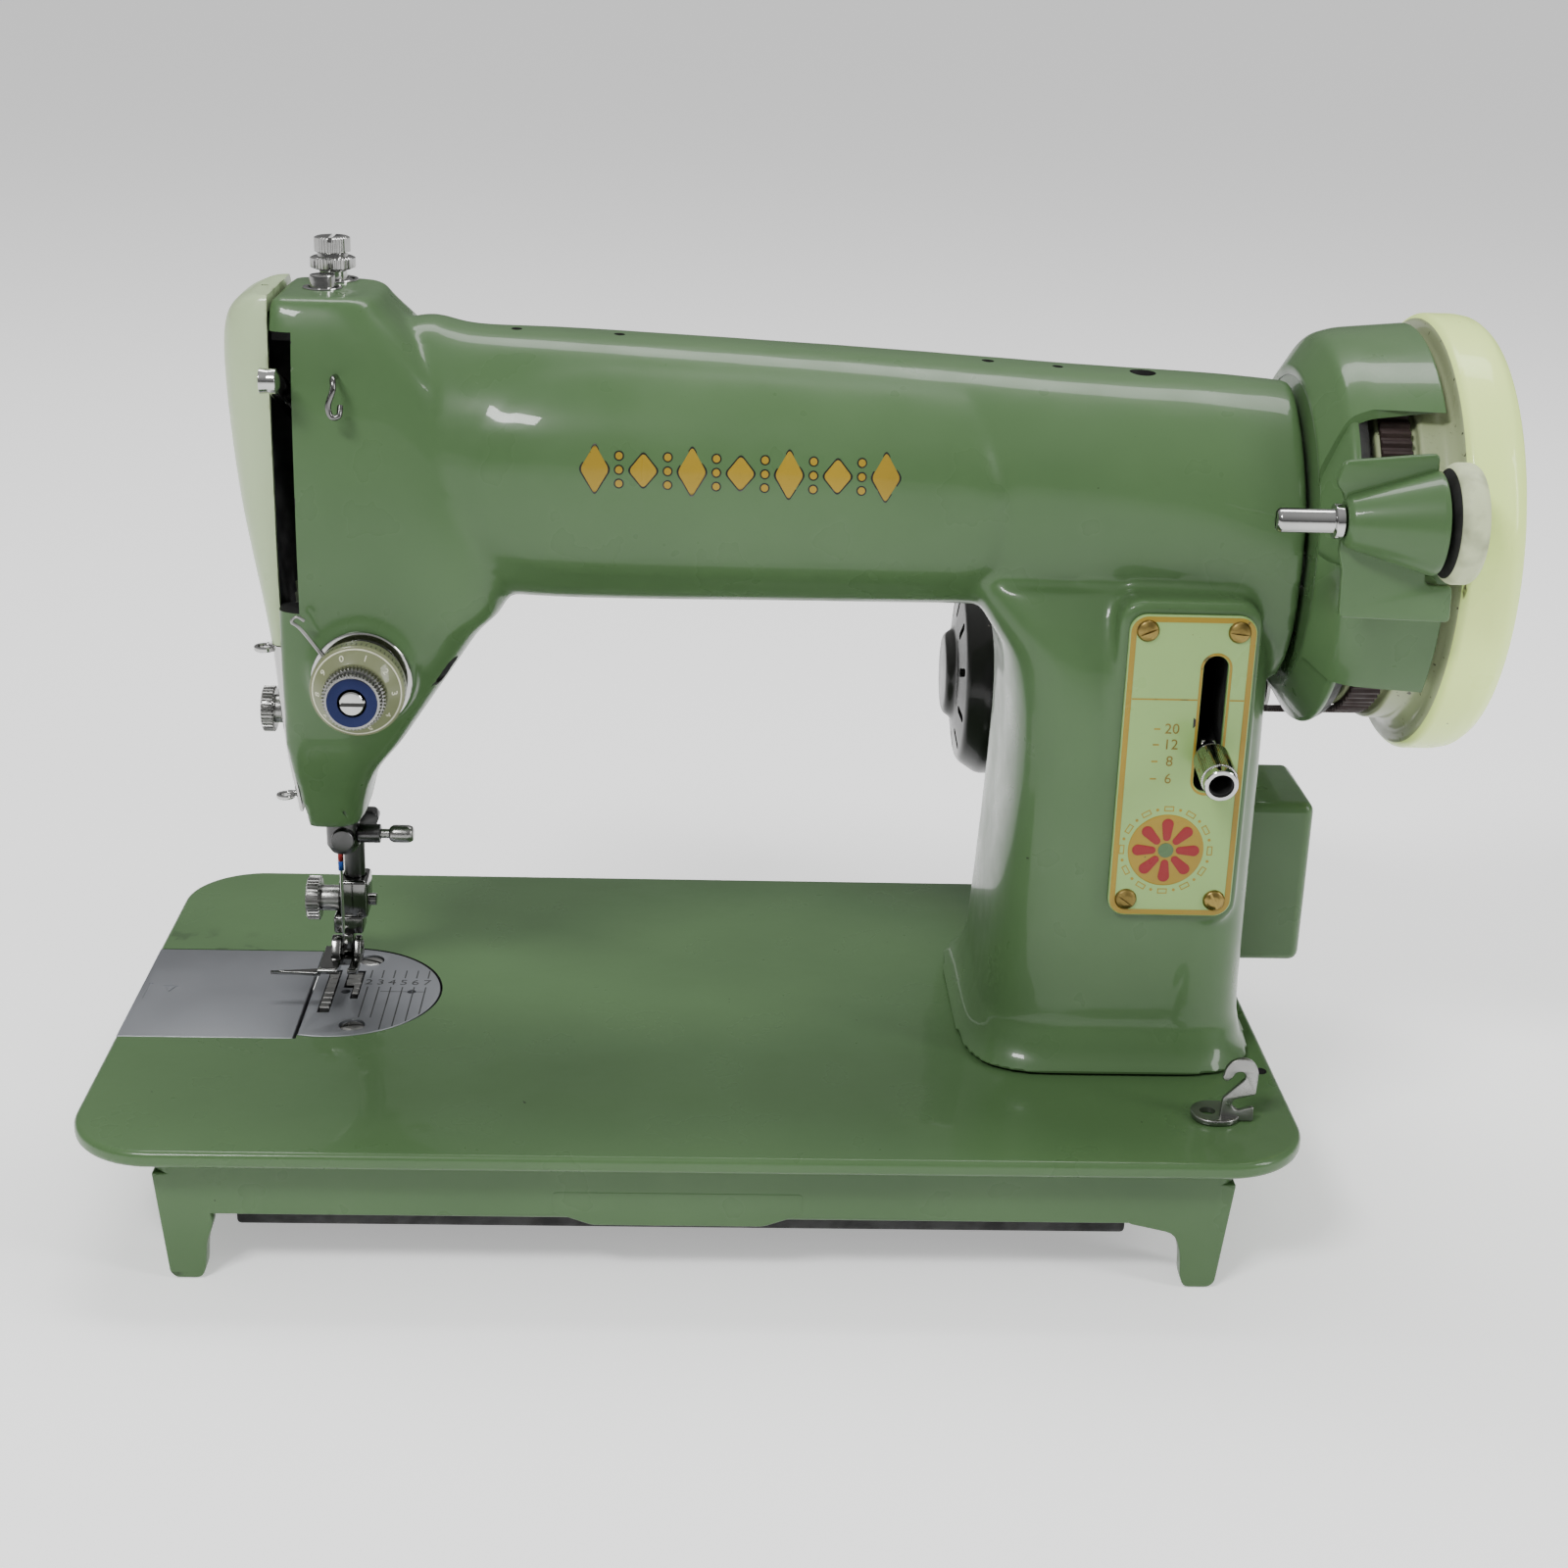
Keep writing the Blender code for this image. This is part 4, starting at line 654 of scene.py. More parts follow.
def arm_shell():
    shell = skin("arm", [arm_ring(*row) for row in refine(ARM, 5)])
    head = skin("head", [head_ring(*row) for row in refine(HEAD, 3)])
    pillar = skin("pillar", [[(x, y, row[0]) for x, y in squircle(*row[1:], 4.5)]
                             for row in refine(PILLAR, 4)])
    pad = prism("pad", "Y", rounded(STITCH_LOW.x - 2.5, STITCH_HIGH.x + 2, STITCH_LOW.z - 3,
                                    STITCH_HIGH.z + 3, 6), PAD_Y, -20, 0.8)
    boss = rod("boss", "Y", (TENSION_X, -24.6, TENSION_Z), 16, 13.8, 0.8)
    panel = skin("panel", [panel_ring(*row) for row in refine(PANEL, 4)])
    join(shell, head, pillar, pad, boss, panel)
    grain = shell.modifiers.new("grain", "REMESH")
    grain.mode = "VOXEL"
    grain.voxel_size = CAST_GRAIN
    fillet = shell.modifiers.new("fillet", "SMOOTH")
    fillet.factor = 0.5
    fillet.iterations = 8
    apply(shell)
    cut(shell,
        block("under", (60, 160), (-60, 60), (20, BED_TOP + 0.3), 0),
        block("left", (-130, FACE_X), (-60, 60), (80, 250), 0),
        block("head_room", (-112, -83), (-11, 23.5), (118.2, 224), 0),
        rod("crank_room", "X", (-94.3, ARM_Y, ARM_Z), 13.4, 19.4, 0),
        rod("shaft_tunnel", "X", (-90, ARM_Y, ARM_Z), 250, 9, 0),
        block("arm_room", (-58, 118), (-15, 25), (163.5, 195), 0),
        block("pillar_room", (95, 128.8), (-26, 36), (30, 150), 0),
        block("eccentric_room", (95, 128.8), (-14.3, 24.3), (140, 198), 0),
        block("take_up_slot", (-112, -101.6), (-40, -10), (157, 227.2), 0),
        rod("bar_top", "Z", (BAR_X, BAR_Y, 215), 30, 3.6, 0),
        rod("bar_nose", "Z", (BAR_X, BAR_Y, 85), 36, 3.5, 0),
        rod("presser_top", "Z", (PRESSER_X, PRESSER_Y, 215), 30, 5.4, 0),
        rod("presser_nose", "Z", (PRESSER_X, PRESSER_Y, 85), 36, 3.3, 0),
        rod("lifter_bore", "Y", (-97, 20, 152), 20, 3.4, 0),
        rod("tension_bore", "Y", (TENSION_X, -40, TENSION_Z), 30.2, 3.5, 0),
        block("lever_slot", (LEVER_X - 3.2, LEVER_X + 3.2), (-45, -20), (119, 156.5), 0),
        block("lever_room", (123, 134), (-22, 20), (112, 160), 0),
        rod("pin_bore", "X", (120, LEVER_Y, LEVER_Z), 22, 2.4, 0),
        rod("take_up_bore", "X", (-95, *TAKE_UP_PIVOT), 22, 2.3, 0),
        prism("side_hole", "X", rounded(-17, -13.4, 137.5, 144.6, 1.7), -78, -60, 0.2),
        prism("nose_mark", "Y", stadium((-94.2, 98.6), (-92.9, 96), 0.45, 0.4), -13, -8.2, 0.01),
        *[rod("oil_hole", "Z", (x, ARM_Y - 2, 212), 22, radius, 0)
          for x, radius in OIL_HOLES])
    piece("arm_shell", shell, GREEN, "arm_casting", crease=40)
    # The faces inside the head room, take-up slot, side hole, lever and pillar rooms and oil holes
    # are painted black: painted shade.
    rooms = [((-112, -11.1, 118), (-82.9, 23.6, 224.1)),
             ((-107.4, -22.4, 157), (-101.5, -9.9, 227.3)),
             ((-77, -17.2, 137.3), (-64.8, -13.2, 144.8)),
             ((122, -36.5, 111.9), (137, 20.1, 160.1)),
             ((94.9, -26.1, 30), (128.9, 36.1, 150.1))]
    rooms += [((x - radius - 0.05, ARM_Y - 2.1 - radius, 205),
               (x + radius + 0.05, ARM_Y - 1.9 + radius, 221.5 - 0.03 * max(x, 0)))
              for x, radius in OIL_HOLES]
    line_rooms(shell, BLACK_AND_SHADE, rooms)
    arm_ornament(shell)


def drape(surface, outline, thick, cells=6):
    """A thin solid of a closed (x, z) outline, laid on a surface from the front."""
    count = len(outline)
    mid = (sum(u for u, v in outline) / count, sum(v for u, v in outline) / count)
    rows = [[mid]] + [[(mid[0] + (u - mid[0]) * k / cells, mid[1] + (v - mid[1]) * k / cells)
                       for u, v in outline] for k in range(1, cells + 1)]
    bm = bmesh.new()
    rims = []
    for depth in (-ORNAMENT_ROOT, thick):
        low = None
        for row in rows:
            high = []
            for u, v in row:
                hit = surface.ray_cast(TO_FRAME @ Vector((u, -60, v)), Vector((0, 1, 0)))[0]
                high.append(bm.verts.new((u, (TO_MACHINE @ hit).y - depth, v)))
            for i in range(count if low else 0):
                j = (i + 1) % count
                inner = (low[0],) if len(low) == 1 else (low[j], low[i])
                bm.faces.new((*inner, high[i], high[j]))
            low = high
        rims.append(low)
    for i in range(count):
        j = (i + 1) % count
        bm.faces.new((rims[0][i], rims[0][j], rims[1][j], rims[1][i]))
    outward(bm)
    return make("drape", bm)


def arm_ornament(shell):
    """A plain gold band of lozenges and dots, laid on the arm's front."""
    surface = BVHTree.FromPolygons([vert.co for vert in shell.data.vertices],
                                   [face.vertices[:] for face in shell.data.polygons])
    for name, look, grow, thick in (("ornament_edges", BLACK, 0.5, 0.05),
                                    ("ornament_gold", GOLD, 0, 0.10)):
        shapes = []
        for i in range(LOZENGES):
            u, v = -27 + 12 * i, 197 - 0.1 * i
            tall, wide = (4.4 if i % 2 else 6.2) + grow, 3.6 + grow
            lozenge = [(u - wide, v), (u, v - tall), (u + wide, v), (u, v + tall)]
            shapes.append(drape(surface, soften(lozenge, 1.2, True, 5), thick))
            if i < LOZENGES - 1:
                shapes += [drape(surface, circle(u + 6, w, 0.9 + grow * 0.7, 24), thick, 3)
                           for w in (v - 3.4, v, v + 3.4)]
        piece(name, gather("shapes", shapes), look)


def plate_outline(extra):
    """The half-round needle plate, grown by extra, cut straight at the slide plate."""
    radius = PLATE_R + extra
    half = math.degrees(math.acos((SLIDE_EDGE + 0.3 - extra - PLATE_X) / radius))
    return arc(PLATE_X, PLATE_Y, radius, -half, half, 72)


def bed_shell():
    slab = prism("bed", "Z", rounded(-BED_X, BED_X, -BED_Y, BED_Y, 22, 24), BED_TOP - 4.5,
                 BED_TOP, 1.7, steps=5)
    skirt = prism("skirt", "Z", rounded(SKIRT_X0, SKIRT_X1, -SKIRT_Y, SKIRT_Y, 5), SKIRT_Z,
                  BED_TOP - 2.5, 0.4,
                  [rounded(SKIRT_X0 + WALL, SKIRT_X1 - WALL, WALL - SKIRT_Y, SKIRT_Y - WALL, 2)])
    additions = [skirt]
    for x, inward, sweep in ((SKIRT_X0, 1, 14), (SKIRT_X1, -1, 28)):
        for y in (-1, 1):
            outline = [(0, 30), (3, 1.5), (4.5, 0), (11, 0), (12.2, 3), (12.6, 10),
                       (14.5, SKIRT_Z - 3), (sweep, SKIRT_Z + 0.1), (sweep, 30)]
            leg = soften([(x + inward * u, v) for u, v in outline], 2.5, True)
            low, high = sorted((y * SKIRT_Y, y * (SKIRT_Y - 5)))
            additions.append(prism("leg", "Y", leg, low, high, 0.5))
            flank = [(x, 30), (x + inward * 3, 1.5), (x + inward * 4.5, 0.1),
                     (x + inward * 7.5, 0.1), (x + inward * 5, 30)]
            low, high = sorted((y * (SKIRT_Y - 0.1), y * (SKIRT_Y - 10)))
            additions.append(prism("leg_side", "Y", soften(flank, 0.8, True), low, high, 0.4))
    tab = [(-35, 20), (-25, 16.4), (18, 16.4), (28, 20), (28, 26), (-35, 26)]
    additions.append(prism("tab", "Y", soften(tab, 1.5, True), -SKIRT_Y - 0.1, WALL - SKIRT_Y, 0.4))
    for shaft_y in (40, -14):
        for x in (-78, 84):
            additions.append(block("bearing", (x, x + 8), (shaft_y - 7.5, shaft_y + 7.5),
                                   (15.5, 37), 1))
    additions.append(rod("pan_post", "Z", (0, 15, 12), 25, 5))
    join(slab, *additions)
    recess = BED_TOP - 2.8
    cut(slab,
        block("slide_recess", (-170, SLIDE_EDGE + 0.5), (SLIDE_LOW.y - 0.3, SLIDE_HIGH.y + 0.3),
              (recess, 50), 0),
        prism("plate_recess", "Z", plate_outline(0.3), recess, 50, 0.01),
        prism("hook_opening", "Z", [(-129, -22), (SLIDE_EDGE, -22)]
              + arc(PLATE_X, PLATE_Y, 24.5, -70, 70, 48)
              + [(SLIDE_EDGE, 26), (-129, 26)], 28, 39, 0.01),
        block("rod_opening", (96, 127.8), (-25, 35), (28, 45), 0),
        rod("feed_bore", "X", (-90, 40, 23), 195, 4.4, 0),
        rod("hook_bore", "X", (-84, -14, 23), 190, 4.4, 0),
        rod("pan_bore", "Z", (0, 15, 5), 20, 1.9, 0),
        rod("oil_hole", "Z", (151, -38, 30), 15, 1.9, 0))
    piece("bed_shell", slab, GREEN, "bed_casting")
    # The faces inside the hook opening, oil hole and rod opening are painted black: painted shade.
    line_rooms(slab, BLACK_AND_SHADE, [((-133.9, -26.4, 18), (-70, 32.5, BED_TOP - 0.6)),
                                  ((149, -40, 30), (153, -36, BED_TOP - 0.3)),
                                  ((95.9, -25.1, 27), (127.9, 35.1, BED_TOP - 0.1))])
    low, high = reach("drip_pan")
    pan = block("pan", (low.x, high.x), (low.y, high.y), (low.z, high.z), 1.2)
    cut(pan, block("inside", (low.x + 1.2, high.x - 1.2), (low.y + 1.2, high.y - 1.2),
                   (low.z + 1.2, high.z + 9), 0.8),
        rod("hole", "Z", (0, 15, 0), 20, 2.4, 0))
    piece("drip_pan_tray", pan, BLACK_AND_SHADE, "drip_pan")
    nut = knurl("nut", "Z", (0, 15, 0), (4.7, 8.7), 7, teeth=36)
    piece("drip_pan_thumb_nut", join(nut, rod("post", "Z", (0, 15, 8), 12, 1.6)), STEEL,
          "drip_pan_nut")


# ------------------------------------------------------------------ covers on the head

# Face cover, from the bottom up: height, bulge to the left, y low, y high
COVER = (
    (145.6, -112.3, -12.5, 29.5), (158, -114.2, -14, 30.5), (170, -116.3, -15, 31),
    (184, -118.6, -15, 31), (203, -120.4, -15, 30), (220, -121, -14.5, 28),
    (229, -119.8, -14, 26.5), (233.5, -116.5, -13, 24), (235.4, -112.6, -12, 22),
)


def bulge(z, left, y0, y1, right, count=56):
    """A D-shaped section: round on the left, straight at x = right."""
    points = [(right, y0, z), (right, y1, z)]
    for i in range(1, count):
        turn = math.pi * i / count
        lean = math.copysign(abs(math.cos(turn)) ** 0.6, math.cos(turn))
        points.append((right + (left - right) * math.sin(turn) ** 0.75,
                       (y0 + y1) / 2 + lean * (y1 - y0) / 2, z))
    return points


def faces_head(spot, normal):
    """Whether a face of a cover looks back at the head; the rim doesn't count."""
    out = spot - Vector((FACE_X, 8, 0))
    on_rim = normal.x > 0.9 and out.x > -2.5
    return out.x < 0 and not on_rim and normal.x * out.x + normal.y * out.y < -0.2


def head_covers():
    edge = FACE_X - 0.3
    rows = refine(COVER, 5)
    cover = skin("cover", [bulge(*row, edge) for row in rows])
    inside = [bulge(z, left + 1.8, y0 + 1.8, y1 - 1.8, edge + 2) for z, left, y0, y1 in rows[:-8]]
    inside[0] = [(x, y, z - 5) for x, y, z in inside[0]]
    cut(cover, skin("inside", inside), rod("hole", "Z", (-110.9, 3.4, 225), 15, 0.9, 0))
    # The cover takes the darker pale enamel, painted shade, and its faces towards the head are
    # painted black, painted shade.
    piece("face_cover", cover, PALE_COVER_SHADE, "upper_face_cover")
    repaint(cover, BLACK_AND_SHADE, faces_head)
    rows = refine(((98, -107.3, -105.3), (104, -108.1, -106.1), (111, -109.1, -107.2),
                   (119, -110, edge), (130, -111, edge), (145.2, -112.3, edge)), 4)
    plate = skin("plate", [bulge(z, left, -7.5 - (z - 98) * 0.1, 25 + (z - 98) * 0.09,
                                 min(right, edge) if z > 119 else right)
                           for z, left, right in rows])
    inner = skin("inner", [bulge(z, left + 1.3, -6 - (z - 98) * 0.1, 23.5 + (z - 98) * 0.09,
                                 edge + 4)
                           for z, left in ((119.5, -110), (130, -111), (150, -112.7))])
    join(plate, rod("stem", "X", (-113.2, -5, 143.4), 4.6, 0.9),
         tube("eye", "Z", (-113.4, -7.2, 0), (142.8, 144), 1.5, 2.8),
         rod("stem_2", "X", (-110, -3.2, 101.6), 3.6, 0.8),
         tube("eye_2", "Z", (-110.1, -5.2, 0), (101.1, 102.1), 1.3, 2.5))
    screw_at = middle("face_thumb_screw")
    cut(plate, inner, rod("hole", "X", (-125, screw_at.y, screw_at.z), 30, 2.4, 0))
    piece("face_plate", plate, CHROME, "lower_face_plate")
    # The plate's faces towards the head are painted black: painted shade.
    repaint(plate, BLACK_AND_SHADE, faces_head)
    at = (0, screw_at.y, screw_at.z)
    head = knurl("head", "X", at, (-116.9, -113.5), 6.2, teeth=34, depth=0.55, edge=0.7)
    join(head, rod("neck", "X", (-113.9, *at[1:]), 2.8, 3.8),
         rod("thread", "X", (-111.6, *at[1:]), 3.9, 2))
    piece("face_screw_head", head, STEEL, "face_thumb_screw", body="face_screw")


def thread_guides():
    line = [(-90.6, -19.9, 217.2), (-90.6, -24.3, 217.5), (-90.4, -26, 215.2),
            (-91.7, -26.2, 211.2), (-91, -26.2, 208.6), (-89.2, -26, 208.8),
            (-89, -24.5, 211)]
    piece("arm_guide_wire", wire("guide", line, 0.75), NICKEL, "arm_thread_guide")
    outline = ([(134.4, 40.3), (143.1, 40.3), (142.9, 44.3), (139.6, 43.3)]
               + arc(139, 45, 1.7, 270, 90, 12)
               + [(143.1, 47.7), (143.4, 54)] + arc(139, 53.6, 4.3, 5, 175, 24)
               + [(134.3, 52.3), (135.4, 51.5), (136.6, 52.3)] + arc(138.6, 52.6, 1.6, 150, -10, 12)
               + [(139.6, 51.6), (134.8, 46.6)])
    hook = prism("hook", "Y", soften(outline, 0.5, True), -66.6, -65.2, 0.25)
    foot = prism("foot", "Z", rounded(127.6, 140, -69.6, -58, 5.4), BED_TOP + 0.3,
                 BED_TOP + 1.7, 0.3)
    join(hook, foot, solver="EXACT")
    cut(hook, rod("hole", "Z", (131.8, -63.8, 38), 10, 2, 0), solver="EXACT")
    piece("winder_guide", hook, STEEL, "winder_thread_guide")


# ------------------------------------------------------------------ tension unit


def on_dial(text, turn, radius, face_y, lean, size):
    """A number on the dial's cone, read from the front."""
    thing = figure(text, size, 0.12)
    matrix = (Matrix.Translation((TENSION_X, face_y, TENSION_Z))
              @ Matrix.Rotation(-turn, 4, "Y")
              @ Matrix.Translation((0, 0, radius))
              @ Matrix.Rotation(math.pi / 2 - lean, 4, "X"))
    thing.data.transform(matrix)
    return thing


def tension_unit():
    x, z = TENSION_X, TENSION_Z
    at = (x, 0, z)
    spring = tube("spring", "Y", at, (-26.9, -25.2), 4, 5.8)
    hook = wire("hook", [(x - 4.9, -26.5, z), (x - 9, -26.8, z + 6),
                         (x - 14.5, -26.8, z + 13.5), (x - 16.8, -26.8, z + 15.5),
                         (x - 15.4, -26.8, z + 16.8), (x - 13.6, -26.8, z + 15.8)], 0.45)
    piece("check_spring_wire", join(spring, hook), STEEL, "check_spring")
    dish = [(0, 3.9), (0, 8.2), (0.5, 10.4), (-0.1, 10.4), (-0.6, 8.2), (-0.6, 3.9)]
    piece("tension_disc_back", lathe("disc", "Y", (x, -27.9, z), dish, 0.15), CHROME,
          "tension_disc_rear")
    mirrored = [(-along, radius) for along, radius in dish[::-1]]
    piece("tension_disc_outer", lathe("disc", "Y", (x, -29.1, z), mirrored, 0.15), CHROME,
          "tension_disc_front")
    stud = rod("stud", "Y", (x, -44.5, z), 33.5, 3.1, 0.5)
    join(stud, lathe("base", "Y", at, [(-24.7, 0), (-24.7, 12.8), (-26.2, 12.8), (-26.2, 6.6),
                                       (-25, 6.6), (-25, 0)], 0.4))
    cut(stud, block("slot", (x - 3.6, x + 3.6), (-46, -43), (z - 0.7, z + 0.7), 0))
    piece("tension_post", stud, CHROME, "tension_stud")
    dial = lathe("dial", "Y", at, [(-29.9, 4), (-29.9, 11.9), (-34.2, 11.9), (-34.5, 11.4),
                                   (-34.5, 10.9), (-35, 10.9), (-37.6, 8.2), (-37.6, 4)], 0.2,
                 144)
    piece("dial_drum", dial, DIAL, "tension_dial", body="tension_control")
    groove = tube("groove", "Y", at, (-34.72, -34.45), 10.5, 11.25, 0.05)
    marks = [groove]
    cone = math.atan2(2.6, 2.7)
    for number in range(10):
        turn = math.radians(20 - number * 36)
        marks.append(on_dial(str(number), turn, 9.55, -36.32, cone, 2.5))
    piece("dial_numbers", gather("numbers", marks), LIGHT_INK, body="tension_control")
    ticks = []
    for i in range(60):
        tick = block("tick", (-0.12, 0.12), (-33.4 if i % 6 else -33.9, -32), (11.8, 11.93), 0)
        ticks.append(place(tick, at, math.tau * i / 60))
    piece("dial_ticks", gather("ticks", ticks), INK, body="tension_control")
    knob = knurl("knob", "Y", at, (-41, -37.9), 8, 4, teeth=52, depth=0.5, edge=0.5)
    piece("knob_lower", knob, STEEL, "tension_knob", body="tension_control")
    upper = knurl("upper", "Y", at, (-43.6, -41.05), 7.3, 4, teeth=48, depth=0.45, edge=0.4)
    piece("knob_upper", upper, STEEL, body="tension_control", slot="dark_steel")
    cap = tube("cap", "Y", at, (-43.9, -43.62), 3.6, 6.3, 0.1)
    piece("knob_face", cap, BLUED, body="tension_control", slot="dark_steel")


# ------------------------------------------------------------------ needle and presser bars


def needle_group():
    x, y = BAR_X, BAR_Y
    bar = rod("bar", "Z", (x, y, 87.8), 150.6, 3.18, 0.5)
    join(bar, rod("collar", "Z", (x, y, 150), 9, 4.3),
         rod("stud", "X", (x, y, 154.5), -87.2 - x, 2.4))
    piece("needle_bar_rod", bar, CHROME, "needle_bar", body="needle_unit")
    clamp = lathe("clamp", "Z", (x, y, 0),
                  [(87.5, 0), (87.5, 3.5), (92.2, 3.5), (92.2, 4.5), (84.6, 4.5), (83.2, 3.6),
                   (82.4, 3), (82.4, 0)], 0.3)
    join(clamp, rod("face", "Y", (x + 0.6, y - 6.4, 87.6), 3, 3.1, 0.4),
         rod("lug", "X", (x + 4, y, 87.6), 6.2, 2.6, 0.4))
    cut(clamp, rod("bore", "X", (x + 3.6, y, 87.6), 10, 1.6, 0),
        rod("bore_2", "Z", (NEEDLE_X, NEEDLE_Y, 80), 7.4, 1.1, 0))
    piece("needle_clamp_body", clamp, DARK_STEEL, "needle_clamp", body="needle_unit")
    screw = rod("screw", "X", (x + 3.9, y, 87.6), 9.4, 1.3)
    head = lathe("head", "X", (x + 12.5, y, 87.6),
                 [(0, 0), (0, 1.8), (1.2, 2.45), (5.4, 2.45), (6.6, 1.9), (6.6, 0)], 0.6)
    piece("needle_screw_head", join(screw, head), STEEL, "needle_clamp_screw", body="needle_screw")
    tip = reach("needle")[0].z
    needle = lathe("needle", "Z", (NEEDLE_X, NEEDLE_Y, 0),
                   [(tip, 0), (tip + 3, 0.35), (tip + 5, 0.45), (tip + 22, 0.45),
                    (tip + 24, 0.75), (87, 0.75), (87, 0)], 0.2, 24)
    piece("needle_blade", needle, CHROME, "needle", body="needle_unit")
    for name, look, low, high in (("needle_band_red", HEAT_RED, 79.6, 82.2),
                                  ("needle_band_blue", HEAT_BLUE, 76.8, 79.5)):
        band = tube("band", "Z", (NEEDLE_X, NEEDLE_Y, 0), (low, high), 0.7, 0.80, 0.02, 24)
        piece(name, band, look, body="needle_unit")
    lever = prism("lever", "X", stadium(TAKE_UP_PIVOT, TAKE_UP_EYE, 4.6, 2.6), -105.7, -103.5, 0.4,
                  [circle(*TAKE_UP_PIVOT, 2.3)])
    eye = lathe("eye", "X", (0, *TAKE_UP_EYE),
                [(-103.6, 1.5), (-103.6, 3.2), (-105.7, 2.9), (-107.7, 3.2), (-107.7, 1.5)], 0.3,
                64)
    piece("take_up_arm", join(lever, eye, solver="EXACT"), CHROME, "take_up_lever", body="take_up")


def presser_group():
    x, y = PRESSER_X, PRESSER_Y
    low, high = reach("presser_bar")
    bar = rod("bar", "Z", (x, y, low.z), high.z - low.z, 2.9, 0.5)
    join(bar, block("guide", (-101.8, -92.4), (11.4, 23), (166.2, 176.2), 0.8))
    cutter = prism("cutter", "Y", soften([(x + 1.2, 84.6), (x + 6.4, 84.8), (x + 7.4, 87.6),
                                          (x + 6.2, 89.4), (x + 1.2, 89.4)], 0.8, True),
                   15, 19.4, 0.3)
    piece("presser_bar_rod", join(bar, cutter), DARK_STEEL, "presser_bar", body="presser_unit")
    turns, steps, bottom, top = 6, 40, 177.4, 219.5
    coil = []
    for i in range(turns * steps + 1):
        turn = math.tau * i / steps
        coil.append((x + 4.1 * math.cos(turn), y + 4.1 * math.sin(turn),
                     bottom + (top - bottom) * i / (turns * steps)))
    piece("presser_spring_coil", wire("coil", coil, 0.45, 1), STEEL, "presser_spring",
          body="presser_unit")
    at = (x, y, 0)
    screw = lathe("screw", "Z", at,
                  [(242.2, 0), (242.2, 3.9), (241, 3.9), (241, 4.2), (238, 4.2),
                   (237.6, 3.6), (235.2, 3.6), (235.2, 5), (221, 5), (221, 3.5),
                   (234, 3.5), (234, 0)], 0.3)
    join(screw, knurl("flange", "Z", at, (238, 241), 5.8, teeth=36, depth=0.4, edge=0.7),
         knurl("cap", "Z", at, (242, 246), 4.6, teeth=32, depth=0.35, edge=0.6))
    cut(screw, block("slot", (x - 0.5, x + 0.5), (y - 8, y + 8), (244.9, 250), 0))
    piece("pressure_screw_cap", screw, CHROME, "pressure_screw", body="pressure_regulator")
    shank = block("shank", (x - 3.9, x + 3.9), (11.6, 22.4), (58.6, 69.8), 1)
    join(shank, block("neck", (-101.6, -93.4), (12, 19.6), (53.6, 58.8), 0.8),
         block("tongue", (-99, -96), (9.4, 15), (49, 54.6), 0.6))
    cut(shank, rod("bore", "Z", (x, y, 58.9), 30, 3.2, 0),
        rod("pin_bore", "X", (-110, FOOT_PIN_Y, FOOT_PIN_Z), 30, 1.4, 0),
        rod("screw_bore", "X", (-110, y, 62.5), 13, 1.9, 0))
    join(shank, rod("screw_end", "X", (-92.4, 17, 62.3), 2.4, 1.7, 0.3))
    piece("shank_body", shank, NICKEL, "foot_shank", body="presser_unit")
    at = (0, y, 62.5)
    screw = knurl("screw", "X", at, (-109.2, -105.4), 6.2, teeth=34, depth=0.55, edge=0.7)
    join(screw, rod("neck", "X", (-105.6, y, 62.5), 5.5, 3.6),
         rod("thread", "X", (-100.4, y, 62.5), 1.3, 1.6))
    piece("foot_screw_head", screw, STEEL, "foot_screw", body="foot_clamp_screw")
    side = [(-3, SOLE + 2.2), (-2.4, SOLE + 2.9), (1, SOLE + 1.7), (15, SOLE + 2),
            (15, SOLE + 1.4), (12.5, SOLE), (0, SOLE), (-2.4, SOLE + 1.4)]
    foot = prism("foot", "X", soften(side, 0.5, True), -104.4, -93.6, 0.25)
    cheek = stadium((FOOT_PIN_Y, FOOT_PIN_Z), (9.6, SOLE + 2), 2.6, 2.2)
    join(foot, prism("cheek", "X", cheek, -102, -99.4, 0.3),
         prism("cheek_2", "X", cheek, -95.6, -93.8, 0.3))
    slot_x = (NEEDLE_X - 1.4, NEEDLE_X + 1.4)
    cut(foot, block("slot", slot_x, (-20, 6.4), (38, 60), 0),
        rod("bore", "X", (-110, FOOT_PIN_Y, FOOT_PIN_Z), 30, 1.4, 0))
    finger = [(-103.6, -2.2), (-103.6, 1.2), (-109, 0.2), (-117.6, -1), (-109, -1.8)]
    join(foot, prism("finger", "Z", soften(finger, 0.4, True), SOLE + 0.5, SOLE + 1.5, 0.2))
    piece("foot_sole", foot, NICKEL, "presser_foot", body="foot")
    handle = prism("handle", "Y", stadium((-97, 152), (-75, 150), 6, 4), 32.8, 36, 0.7)
    join(handle, rod("spindle", "Y", (-97, 22, 152), 12, 3),
         prism("finger", "Y", stadium((-97, 152), (-97, 162), 3.9, 3), 21.4, 23.2, 0.3))
    piece("lifter_handle", handle, CHROME, "lifter_lever", body="lifter")


# ------------------------------------------------------------------ plates on the bed


